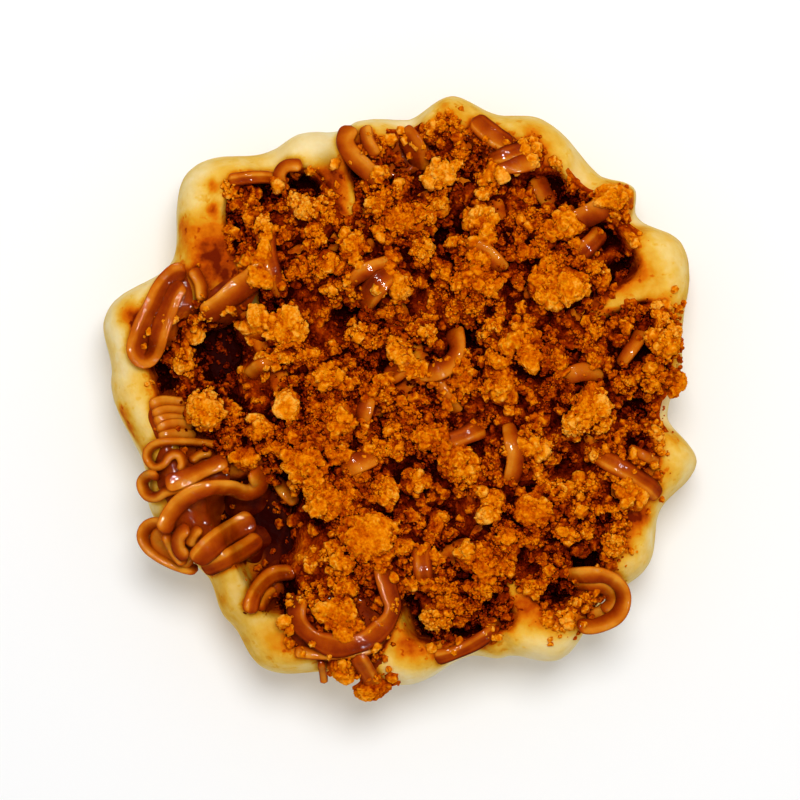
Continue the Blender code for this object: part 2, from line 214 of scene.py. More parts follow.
def bakedDough():
    # Baked waffle dough, pressed by a hot iron: satin where the fat has set, pale on the lobes, yellow where
    # fat has soaked in, stained orange by the caramel, and wet and dark where it has run into the pockets;
    # that near-black film is partly painted shade in the pockets and on one lobe.
    made, tree, shader = newMaterial("baked_waffle_dough")
    place = addNode(tree, "TexCoord").outputs["Object"]
    noises, ranged = {}, {}
    for name, size, detail in doughFinish["noises"]:
        settings = {"Scale": perMm(size), "Detail": detail}
        noises[name] = addNode(tree, "TexNoise", settings, {"Vector": place}).outputs["Fac"]
    for name, fromLow, fromHigh, toLow, toHigh in doughFinish["ranges"]:
        settings = {"From Min": fromLow, "From Max": fromHigh, "To Min": toLow, "To Max": toHigh}
        ranged[name] = addNode(tree, "MapRange", settings, {"Value": noises[name]}).outputs[0]
    soak = addNode(tree, "Attribute", {"attribute_name": "soak"}).outputs["Fac"]
    filmAndPaintedShade = addNode(tree, "Attribute", {"attribute_name": "filmAndPaintedShade"}).outputs["Fac"]
    links = {0: soak, 1: ranged["streaks"], 2: ranged["mottle"]}
    uneven = addNode(tree, "Math", {"operation": "MULTIPLY_ADD"}, links)
    links = {0: ranged["specks"], 1: soak, 2: uneven.outputs[0]}
    wet = addNode(tree, "Math", {"operation": "MULTIPLY_ADD"}, links)
    colour = addNode(tree, "ValToRGB", None, {"Fac": wet.outputs[0]})
    fillRamp(colour, doughFinish["wetness"])
    settings = {"data_type": "RGBA", 7: linear(doughFinish["filmAndPaintedShade"])}
    filmed = addNode(tree, "Mix", settings, {0: filmAndPaintedShade, 6: colour.outputs["Color"]})
    tree.links.new(filmed.outputs[2], shader.inputs["Base Color"])
    settings = {"To Min": doughFinish["roughness"], "To Max": doughFinish["filmRoughness"]}
    gloss = addNode(tree, "MapRange", settings, {"Value": filmAndPaintedShade})
    tree.links.new(gloss.outputs[0], shader.inputs["Roughness"])
    links = {0: noises["streaks"], 2: noises["pores"]}
    wrinkles = addNode(tree, "Math", {"operation": "MULTIPLY_ADD", 1: 1.6}, links)
    bump = addNode(tree, "Bump", {"Strength": 0.6, "Distance": 0.00025}, {"Height": wrinkles.outputs[0]})
    tree.links.new(bump.outputs[0], shader.inputs["Normal"])
    shader.inputs["Specular IOR Level"].default_value = 0.01
    shader.inputs["Subsurface Weight"].default_value = 0.15
    shader.inputs["Subsurface Radius"].default_value = (1.0, 0.55, 0.2)
    shader.inputs["Subsurface Scale"].default_value = 0.0015
    return made


caramelFinish = {
    # from painted shade in the folds and low on each ribbon to painted light on its upper edges
    "depth": (   # from the folds to the thin upper edges
        (0.2, "#4C0A00"), (0.44, "#8E2C00"), (0.6, "#AC4400"), (0.78, "#C86606"), (0.95, "#E08E22"),
    ),
    "swirl": 4.0,
    "skin": 1.6,
    "roughness": 0.36,
}


def thickCaramel():
    # Thick caramel sauce, poured in ribbons: cooked sugar and cream, so it is cloudy, with a wet skin that
    # gives small sharp glints. It is painted red brown low on each ribbon and in its folds, as painted shade,
    # and yellow brown on its thin upper edges, as painted light.
    made, tree, shader = newMaterial("thick_caramel")
    place = addNode(tree, "TexCoord").outputs["Object"]
    settings = {"Scale": perMm(caramelFinish["swirl"]), "Detail": 3.0}
    swirl = addNode(tree, "TexNoise", settings, {"Vector": place})
    # crest carries painted light and shade: lighter high on each ribbon, darker low on it and in its grooves
    crest = addNode(tree, "Attribute", {"attribute_name": "crest"}).outputs["Fac"]
    mixed = addNode(tree, "Math", {"operation": "MULTIPLY_ADD", 1: 0.5}, {0: swirl.outputs["Fac"], 2: crest})
    colour = addNode(tree, "ValToRGB", None, {"Fac": mixed.outputs[0]})
    fillRamp(colour, caramelFinish["depth"])
    tree.links.new(colour.outputs["Color"], shader.inputs["Base Color"])
    settings = {"Scale": perMm(caramelFinish["skin"]), "Detail": 2.0}
    skin = addNode(tree, "TexNoise", settings, {"Vector": place})
    bump = addNode(tree, "Bump", {"Strength": 0.5, "Distance": 0.0004}, {"Height": skin.outputs["Fac"]})
    tree.links.new(bump.outputs[0], shader.inputs["Normal"])
    tree.links.new(bump.outputs[0], shader.inputs["Coat Normal"])
    shader.inputs["Roughness"].default_value = caramelFinish["roughness"]
    shader.inputs["Specular IOR Level"].default_value = 0.02
    shader.inputs["Coat Weight"].default_value = 0.8
    shader.inputs["Coat Roughness"].default_value = 0.08
    shader.inputs["Subsurface Weight"].default_value = 0.2
    shader.inputs["Subsurface Radius"].default_value = (1.0, 0.3, 0.05)
    shader.inputs["Subsurface Scale"].default_value = 0.0015
    return made


crumbFinish = {
    # painted shade in the gaps, up to painted light on the tips, over the biscuit's own orange
    "depth": (   # from the gaps to the tips
        (0.1, "#240200"), (0.24, "#601000"), (0.42, "#9C2E00"), (0.6, "#CE5C00"), (0.78, "#EE8806"),
        (0.95, "#FCAE3C"),
    ),
    "speck": 0.5,       # sugar in the biscuit
    "grain": 0.95,      # coarser than the real grain, which would be too fine to show
    "roughness": 0.85,
}


def crushedBiscuit():
    # Crushed spiced biscuit: dry, coarse and matt grains stuck together, bright orange on top, which is
    # partly painted light, and dark red brown in the gaps, partly where caramel and fat have soaked them and
    # partly as painted shade.
    made, tree, shader = newMaterial("crushed_spiced_biscuit")
    place = addNode(tree, "TexCoord").outputs["Object"]
    settings = {"Scale": perMm(crumbFinish["speck"]), "Detail": 2.0}
    speck = addNode(tree, "TexNoise", settings, {"Vector": place}).outputs["Fac"]
    settings = {"Scale": perMm(crumbFinish["grain"])}
    grain = addNode(tree, "TexVoronoi", settings, {"Vector": place}).outputs["Distance"]
    paintedLightShadeAndSoak = addNode(tree, "Attribute", {"attribute_name": "paintedLightShadeAndSoak"}).outputs["Fac"]
    mixed = addNode(tree, "Math", {"operation": "MULTIPLY_ADD", 1: 0.3}, {0: speck, 2: paintedLightShadeAndSoak})
    # darker towards the edges of each grain: painted shade between grains
    mixed = addNode(tree, "Math", {"operation": "MULTIPLY_ADD", 1: -0.19}, {0: grain, 2: mixed.outputs[0]})
    colour = addNode(tree, "ValToRGB", None, {"Fac": mixed.outputs[0]})
    fillRamp(colour, crumbFinish["depth"])
    tree.links.new(colour.outputs["Color"], shader.inputs["Base Color"])
    height = addNode(tree, "Math", {"operation": "MULTIPLY_ADD", 1: -1.4}, {0: grain, 2: speck})
    bump = addNode(tree, "Bump", {"Strength": 0.7, "Distance": 0.0004}, {"Height": height.outputs[0]})
    tree.links.new(bump.outputs[0], shader.inputs["Normal"])
    shader.inputs["Roughness"].default_value = crumbFinish["roughness"]
    shader.inputs["Specular IOR Level"].default_value = 0.0
    shader.inputs["Subsurface Weight"].default_value = 0.2
    shader.inputs["Subsurface Radius"].default_value = (1.0, 0.35, 0.08)
    shader.inputs["Subsurface Scale"].default_value = 0.0008
    return made


# Meshes

def makePiece(name, points, faces, finish, node, values):
    # a smooth mesh object from points and a list of face arrays, with an attribute for each of the values
    mesh = bpy.data.meshes.new(name)
    mesh.vertices.add(len(points))
    mesh.vertices.foreach_set("co", (points * toMetres).astype(np.float32).ravel())
    corners = np.concatenate([group.ravel() for group in faces]).astype(np.int32)
    sides = np.concatenate([np.full(len(group), group.shape[1]) for group in faces])
    mesh.loops.add(len(corners))
    mesh.loops.foreach_set("vertex_index", corners)
    mesh.polygons.add(len(sides))
    mesh.polygons.foreach_set("loop_start", (np.cumsum(sides) - sides).astype(np.int32))
    mesh.polygons.foreach_set("use_smooth", np.ones(len(sides), bool))
    for key, value in values.items():
        layer = mesh.attributes.new(key, "FLOAT", "POINT")
        layer.data.foreach_set("value", value.astype(np.float32))
    mesh.update(calc_edges=True)
    mesh.validate()
    mesh.materials.append(finish)
    piece = bpy.data.objects.new(name, mesh)
    bpy.context.scene.collection.objects.link(piece)
    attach(piece, "root")
    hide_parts(node)
    print(name, "has", int((sides - 2).sum()), "triangles, to", round(float(points[:, 2].max()), 1), "mm")


def gridFaces(rows, columns, first=0):
    # four-sided faces between neighbours of a grid of rows by columns, whose first vertex is first
    index = first + np.arange(rows * columns).reshape(rows, columns)
    return np.stack([index[:-1, :-1], index[:-1, 1:], index[1:, 1:], index[1:, :-1]], axis=-1).reshape(-1, 4)


def gridEdge(cells, first=0):
    # the outer vertices of a square grid, anticlockwise
    index = first + np.arange((cells + 1) ** 2).reshape(cells + 1, cells + 1)
    return np.concatenate([index[0, :-1], index[:-1, -1], index[-1, :0:-1], index[:0:-1, 0]])


def discGrid(cells):
    # a square grid of (a, b) from -1 to 1 laid on the unit disc: the radius is the larger of the two,
    # and the angle is the other's share of it times 45 degrees
    side = np.linspace(-1, 1, cells + 1)
    a, b = np.meshgrid(side, side)
    wide = np.abs(a) >= np.abs(b)
    radius = np.where(wide, a, b)
    share = np.where(wide, b, a) / np.where(radius == 0, 1, radius)
    angle = np.where(wide, share * np.pi / 4, np.pi / 2 - share * np.pi / 4)
    return (radius * np.cos(angle)).ravel(), (radius * np.sin(angle)).ravel()


def spreadDisc(cells, reach):
    # the disc grid stretched to an uneven outline: radius times reach(angle) at the edge, easing inside to
    # radius times the mean reach
    x, y = discGrid(cells)
    radius, angle = np.hypot(x, y), np.arctan2(y, x)
    mean = reach(np.linspace(0, math.tau, 120)).mean()
    stretched = radius * (mean + (reach(angle) - mean) * radius**2)
    return stretched * np.cos(angle), stretched * np.sin(angle)


def ringFaces(low, high):
    # four-sided faces between two closed rings of vertices
    return np.stack([low, np.roll(low, -1), np.roll(high, -1), high], axis=-1)


# The waffle

waffle = {
    "thickness": 27.0,
    "pocketDepth": 9.5,
    "gridTurn": math.radians(24),
    "gridPitch": (28.2, 35.7),
    "gridStart": (6.6, 1.2),
    "ribCrest": 4.0,
    "pocketDraft": 3.2,     # how far a pocket's wall slants
    "pocketEase": 0.4,      # and how far it eases into the crest and the floor
    "pocketCorner": 5.0,
    "pocketRim": 6.5,
    "rimEvening": range(-12, 13, 3),   # degrees over which the pockets' outer walls even out the lobes
    "smallestPocket": 60.0,
    "sideInset": 6.0,
    "sidePower": 2.4,
    "steepest": 0.8,        # share of the inset past which the top no longer falls away
    "droop": (1.2, 0.8),    # beginning this far inside the rim, and this much for each millimetre
    "ripples": ((0.3, 7.0, 3), (0.1, 2.2, 4)),   # height, size, noise
    "sideRipple": (0.2, 4.0, 9),
    "rim": (       # degrees and radius
        (10, 61.2), (29, 69.0), (38, 64.2), (42.5, 67.7), (49, 64.5), (63, 67.6), (72, 64.8), (80, 66.4),
        (89, 60.3), (98, 60.8), (103, 59.4), (111, 61.3), (117, 60.4), (132, 67.1), (149, 57.6), (164, 66.0),
        (175, 62.3), (195, 56.8), (204, 58.6), (222, 56.0), (232, 60.0), (243, 64.4), (256, 60.2),
        (271, 60.9), (285, 56.6), (292, 59.2), (302, 65.1), (316, 61.0), (326, 63.7), (337, 60.3),
        (348, 64.8), (357, 57.2),
    ),
    "cells": 190,
    "sideLevels": 25,
    "seam": 0.25,           # how far it stands out where the iron's plates met
    "seamWidth": 0.05,
}


def rimRadius(angle):
    # the outline's radius, eased from stop to stop
    return ringValue(waffle["rim"], angle)


def insidePocket(x, y):
    # how far inside its pocket's lip a point lies: the corner radius less the root of the squares of what
    # each gap (across, along and to the rim) falls short of it. Also the number of the cell.
    turn = waffle["gridTurn"]
    across = x * math.cos(turn) + y * math.sin(turn)
    along = y * math.cos(turn) - x * math.sin(turn)
    gaps, numbers = [], []
    for v, start, pitch in zip((across, along), waffle["gridStart"], waffle["gridPitch"]):
        n = np.floor((v - start) / pitch)
        gaps.append((pitch - waffle["ribCrest"]) / 2 - np.abs(v - start - pitch * (n + 0.5)))
        numbers.append(n)
    angle = np.arctan2(y, x)
    evened = np.mean([rimRadius(angle + math.radians(away)) for away in waffle["rimEvening"]], axis=0)
    gaps.append(evened - waffle["pocketRim"] - np.hypot(x, y))
    short = np.sqrt(sum(np.maximum(0, waffle["pocketCorner"] - gap) ** 2 for gap in gaps))
    return waffle["pocketCorner"] - short, numbers[0] * 10 + numbers[1]


def realPockets():
    # the cells whose pocket has a floor worth the name
    inside, cell = insidePocket(mapX, mapY)
    cells, counts = np.unique(cell[inside > waffle["pocketDraft"]], return_counts=True)
    return cells[counts * mapStep**2 > waffle["smallestPocket"]]


pocketCells = realPockets()


def pocketShare(x, y):
    # 0 on the crests, 1 on a pocket's floor, and a smooth wall between
    inside, cell = insidePocket(x, y)
    ease = waffle["pocketEase"]
    wall = smoothStep((inside + ease) / (waffle["pocketDraft"] + 2 * ease))
    return np.where(np.isin(cell, pocketCells), wall, 0)


def doughTop(x, y):
    # the ribs' crests less the pockets, with the slight ripples of a baked surface
    listed = waffle["ripples"]
    ripples = sum(height * layeredNoise(flatPoints(x, y, size), seed) for height, size, seed in listed)
    crest = waffle["thickness"] - listed[0][0]
    return crest - waffle["pocketDepth"] * pocketShare(x, y) + ripples


def roundedTop(x, y):
    # doughTop less the rim's rounding, half * (1 - (1 - (1 - gap / inset)²)^(1 / 2.4)), and with a droop that
    # goes on past the rim
    gap = rimRadius(np.arctan2(y, x)) - np.hypot(x, y)
    inner = np.clip(1 - gap / waffle["sideInset"], 0, waffle["steepest"])
    drop = waffle["thickness"] / 2 * (1 - (1 - inner**2) ** (1 / waffle["sidePower"]))
    begin, slope = waffle["droop"]
    return doughTop(x, y) - drop - slope * np.maximum(0, begin - gap)


toppedEdge = (   # the crumb bed's edge: degrees, and how far inside the rim; it draws in over the bare ribs
    (5, 3.5), (17, 3.5), (20.5, 6), (25, 21), (30, 12), (36, 4), (52, 6), (66, 6), (76, 6), (84, 4), (98, 4),
    (105, 18), (112, 8), (128, 7), (134, 13), (145, 22), (152, 12), (165, 9), (180, 10), (192, 12), (205, 25),
    (222, 22), (236, 14), (247, 10), (255, 4), (264, 4), (271, 19), (278, 5.5), (290, 5), (295, 7), (301, 20),
    (307, 8), (318, 6), (330, 7), (346, 9), (355, 3.5),
)


def bedReach(angle):
    # the rim's radius less how far inside it the bed ends
    return rimRadius(angle) - ringValue(toppedEdge, angle)


def bedInside(x, y):
    # how far inside the crumb bed's edge a point lies, with a ragged edge
    ragged = 1.3 * layeredNoise(flatPoints(x, y, 4.0), 21)
    return bedReach(np.arctan2(y, x)) - np.hypot(x, y) + ragged


doughMarks = {
    "stains": (   # orange marks of fat: x, y, radius, strength
        (-41, 35, 5.5, 0.9), (-43, 30, 4.5, 1.1), (-38, 29, 5, 1.1), (-46, 37, 2.5, 0.8), (-13.5, 49, 4, 1.0),
        (-9, 53, 3, 0.9), (-33, -20, 8, 2.0), (-37, -32, 4, 0.6), (29, -43, 6, 0.8), (19, -53, 6, 0.5),
        (50, 30, 5, 0.5), (1, -51, 4, 1.0), (3, -54, 4, 1.0), (-24, -52, 4, 0.6), (32, -46, 5, 0.9),
        (25, -43, 3, 0.6), (36, -43, 3, 0.8), (49, 44, 6, 1.1), (47, 27, 4, 0.3), (40, 24, 4, 0.2),
        (-59.6, -2.5, 1.8, 1.5), (-57.5, -9, 2, 1.2), (-58.8, -6, 1.8, 1.6), (-57.6, 18.5, 2.4, 1.5),
        (-38, -43, 2, 0.5), (-35, -52, 2, 0.5), (56, -15, 3, 0.4), (51, -22, 3.5, 0.7), (-48, 42, 1.5, 0.5),
        (9, 63, 1.5, 0.5), (58, -8, 1.3, 0.5), (48, -26, 3, 0.5), (51, -24, 3.2, 1.0), (-16, 47.5, 4, 0.8),
        (-13, 43, 3.5, 0.9), (-38.5, 25.8, 3, 1.0), (46, 26, 4, 0.5), (52, 27, 3, 0.4), (-48.5, 37, 2.2, 0.9),
        (-48.5, 32.5, 2, 0.9), (-40, 45.5, 1.6, 1.2), (-40, 41, 1.6, 1.2),
    ),
    # the broad faint mark at -37, -48 is painted shade on the lower left lobe, not caramel
    "wet": (      # where caramel has run together under its strands
        (-29, -27, 8, 1.2), (-38, -21, 6.5, 1.2), (-43, -12, 4, 0.9), (-36, 1, 4, 0.8), (-42, 20, 4, 1.0),
        (-29, -41, 3.5, 0.9), (-15, 51, 3, 0.4), (40, -40, 3, 0.7), (-37, -48, 10, 0.12), (-58, -6, 4, 0.1),
        (-31.4, 21.7, 3, 0.9),
    ),
    "pale": (     # lobes that the iron hardly browned
        (-18, 56, 10, 0.4), (-45, 44, 10, 0.2), (62, -10, 7, 0.15), (31, -56, 8, 0.6), (52, -36, 8, 0.3),
        (-60, 17, 5, 0.2), (8, -58, 7, 1.1), (4, -57, 4, 0.4),
    ),
    "golden": (   # and those that it browned more
        (-54, 4, 9, 0.3), (-38, -44, 9, 0.5), (-32, -51, 7, 0.4), (-26, -55, 8, 0.3), (25, 61, 9, 0.4),
        (60, 24, 10, 0.9), (-32, 51, 8, 0.3), (-42, 46, 5, 0.3), (60, -14, 8, 0.3), (50, -33, 7, 0.4),
        (10, 61, 9, 0.4),
    ),
    "bake": 0.14,           # the soak of plain dough, how much it changes, over which size, and its least
    "bakeChange": 0.08,
    "bakeSize": 11.0,
    "leastBake": 0.03,
    "goldenShare": 0.22,
    "paleShare": 0.2,
    "creepShare": 0.34,     # what creeps out of the crumb bed, the stains, and what seeps from strands
    "stainShare": 0.44,
    "seepShare": 0.36,
    "besideBed": 0.13,      # what fat adds beside the bed, there in a pocket, under the bed, and in a pocket
    "besideInPocket": 0.35,
    "underBed": 0.3,
    "inPocket": 0.4,
    "rimBand": 2.0,         # width of the side's outermost part, where the toppings' colours end higher up
}


def doughValues(points, caramelNear):
    # soak is how far fat and caramel have darkened the dough: its bake, the bed's share and the stains, added
    # up. Film is how much caramel covers it: in the pockets under the bed, at the wet marks, and thinly under
    # the strands; its near-black in the pockets and at one wet mark is partly painted shade. Both fade out
    # down the side.
    x, y, z = points.T
    half = waffle["thickness"] / 2
    inside = bedInside(x, y)
    share = pocketShare(x, y)
    near = readMap(caramelNear, x, y)
    atRim = np.hypot(x, y) > rimRadius(np.arctan2(y, x)) - doughMarks["rimBand"]
    upper = smoothStep(np.where(atRim, (z - half - 4) / 5, (z - half) / 4))
    # partly painted shade: this film darkens the pockets under the bed to near black
    wet = smoothStep((inside - 2) / 3) * smoothStep(share * 1.6 - 0.15) + patches(doughMarks["wet"], x, y)
    filmAndPaintedShade = upper * np.maximum(wet, 0.5 * smoothStep(near * 2 - 1))
    creep = np.exp(-np.maximum(0, -inside - 0.3) / 1.6)
    creep = creep * (0.55 + 0.6 * layeredNoise(flatPoints(x, y, 3.0), 31))
    stain = doughMarks["creepShare"] * creep + doughMarks["stainShare"] * patches(doughMarks["stains"], x, y)
    stain = upper * (stain + doughMarks["seepShare"] * smoothStep(near * 1.5))
    bake = doughMarks["bake"] + doughMarks["bakeChange"] * layeredNoise(points / doughMarks["bakeSize"], 41)
    bake = bake + doughMarks["goldenShare"] * patches(doughMarks["golden"], x, y)
    bake = bake - doughMarks["paleShare"] * patches(doughMarks["pale"], x, y)
    bake = np.maximum(doughMarks["leastBake"], bake)
    beside = upper * smoothStep((inside + 8 + 4 * layeredNoise(flatPoints(x, y, 6.0), 43)) / 10)
    beside = beside * (doughMarks["besideBed"] + doughMarks["besideInPocket"] * share)
    bedded = doughMarks["underBed"] * upper * smoothStep((inside + 1) / 3)
    soak = bake + beside + bedded + doughMarks["inPocket"] * upper * share + stain
    return {"soak": np.clip(soak, 0, 1), "filmAndPaintedShade": np.clip(filmAndPaintedShade, 0, 1)}


def makeDough(caramelNear):
    # top grid, rounded side and bottom grid as one closed body. The side is the curve
    # h^2.4 + (1 - inset / 6)² = 1, where h is the height from the middle in halves of the thickness.
    cells, half, inset = waffle["cells"], waffle["thickness"] / 2, waffle["sideInset"]
    x, y = spreadDisc(cells, lambda angle: rimRadius(angle) - inset)
    top = doughTop(x, y)
    under = waffle["thickness"] - top
    edge = gridEdge(cells)
    angle = np.arctan2(y[edge], x[edge])
    turns = np.linspace(math.pi / 2, -math.pi / 2, waffle["sideLevels"] + 2)[1:-1, None]
    height = np.sign(turns) * np.abs(np.sin(turns)) ** (2 / waffle["sidePower"])
    drawnIn = inset * (1 - np.cos(turns))
    level = half + height * (top[edge] - half)
    out = rimRadius(angle) - drawnIn + waffle["seam"] * np.exp(-((height / waffle["seamWidth"]) ** 2))
    ripple, size, seed = waffle["sideRipple"]
    solid = np.stack([out * np.cos(angle) / size, out * np.sin(angle) / size, level / size], -1)
    out = out + ripple * layeredNoise(solid, seed)
    sides = np.stack([out * np.cos(angle), out * np.sin(angle), level], axis=-1)
    points = np.concatenate([np.stack([x, y, top], -1), sides.reshape(-1, 3), np.stack([x, y, under], -1)])
    sideStart, lowStart = len(x), len(x) + sides[..., 0].size
    rings = [edge, *np.arange(sideStart, lowStart).reshape(len(turns), -1), gridEdge(cells, lowStart)]
    faces = [gridFaces(cells + 1, cells + 1), gridFaces(cells + 1, cells + 1, lowStart)[:, ::-1]]
    faces += [ringFaces(low, high) for high, low in zip(rings, rings[1:])]
    values = doughValues(points, caramelNear)
    makePiece("waffle_dough", points, faces, bakedDough(), "waffle", values)


# The crumb bed

bed = {
    "level": 1.4,       # over the ribs
    "lip": 0.9,         # over whatever it lies on, at its edge
    "slope": 1.1,
    "cells": 175,
    "under": 2.0,       # how far its underside is sunk into the pockets' floors
    "core": 1.6,        # how far its rough core lies below its level, and sinks more in the dips
    "coreDip": 3.0,
    "hidden": 0.4,      # how far below the dough the core ends
    "clusters": 4.6,    # size of the larger heaps
    "clusterHeight": 2.5,
    "relief": ((1.0, 2.7, 61), (0.5, 1.15, 62)),   # lumps and grains: height, size, noise
    "patches": (   # where the bed dips or rises
        (-28, -29, 9.0, -12), (-37.5, 10.5, 8.5, -12), (0, 51, 5, -4), (-13, 19, 4, -4), (-3, 18, 4, -3),
        (10, 35, 4.5, -4), (15, 15, 3.5, -3), (35, -12, 4.5, -4), (-36, -1, 4.5, -3), (-3, -3, 4, -2),
        (10, -24, 4, -2.5), (33, 22, 12, 1.2), (-18, -16, 9, 1.4), (-6, -29, 8, 1.2), (20, -27, 11, 0.8),
        (-24, 14, 7, 1.0), (-31.5, 15, 4, 9), (-31.5, 7, 3.5, 6), (-19, -32, 5, 3),
    ),
    "bare": (      # small places where the waffle shows through the crumbs
        (10.8, -32.5, 3.4, -4), (-1.2, 17.8, 2.6, -3.5), (3.6, 10.8, 2.2, -3), (26.5, -45, 4.2, -6),
        (1.5, -49, 4, -5), (14.6, 13.4, 2.4, -4), (-9.5, 19.5, 3.0, -4), (-6.5, 8.2, 2.6, -3),
        (17.5, -4, 2.2, -3), (43.5, 21.3, 3.6, -7), (47.5, 23.2, 3.0, -6),
    ),
}


def bedHeight(x, y):
    # level over the ribs but for its patches, and sloping down at its edge
    level = waffle["thickness"] + bed["level"] + patches(bed["patches"], x, y)
    inside = np.maximum(0, bedInside(x, y))
    floor = waffle["thickness"] - waffle["pocketDepth"] + bed["lip"]
    return np.maximum(floor, np.minimum(level, roundedTop(x, y) + bed["lip"] + bed["slope"] * inside))


def clusterField(x, y):
    # where the crumbs heap up, from -1.3 to 1.3
    coarse = softNoise(flatPoints(x, y, bed["clusters"]), 51)
    fine = softNoise(flatPoints(x, y, bed["clusters"] / 2.2), 52)
    return 0.75 * coarse + 0.55 * fine


def coreHeight(x, y):
    # the bed lowered and roughened by clusters, lumps and grains, sunk where the waffle shows
    inside = bedInside(x, y)
    rough = bed["clusterHeight"] * clusterField(x, y)
    for height, size, seed in bed["relief"]:
        rough = rough + height * grainNoise(flatPoints(x, y, size), seed)
    top = bedHeight(x, y) - bed["core"] + rough * smoothStep(inside / 3)
    dips = smoothStep(-patches(bed["patches"], x, y) / 6 - 0.6)
    top = top + patches(bed["bare"], x, y) - bed["coreDip"] * dips
    return np.where(inside > 0.3, top, np.minimum(top, roundedTop(x, y) - bed["hidden"]))


def coreSurface():
    # the bed's top on a disc grid, closed below by a fan from the middle
    cells = bed["cells"]
    x, y = spreadDisc(cells, lambda angle: bedReach(angle) + 1.5)
    edge = gridEdge(cells)
    z = coreHeight(x, y)
    z[edge] = np.minimum(z[edge], roundedTop(x[edge], y[edge]) - 2 * bed["hidden"])
    floor = waffle["thickness"] - waffle["pocketDepth"] - bed["under"]
    points = np.concatenate([
        np.stack([x, y, z], -1), np.stack([x[edge], y[edge], np.full(len(edge), floor)], -1), [[0, 0, floor]],
    ])
    low = len(x) + np.arange(len(edge))
    fan = np.stack([np.roll(low, -1), low, np.full(len(low), len(points) - 1)], axis=-1)
    return points, [gridFaces(cells + 1, cells + 1), ringFaces(low, edge), fan]


# Caramel

heapCeiling = (29.5, 4.5)   # no crumb or strand passes the sum of the two

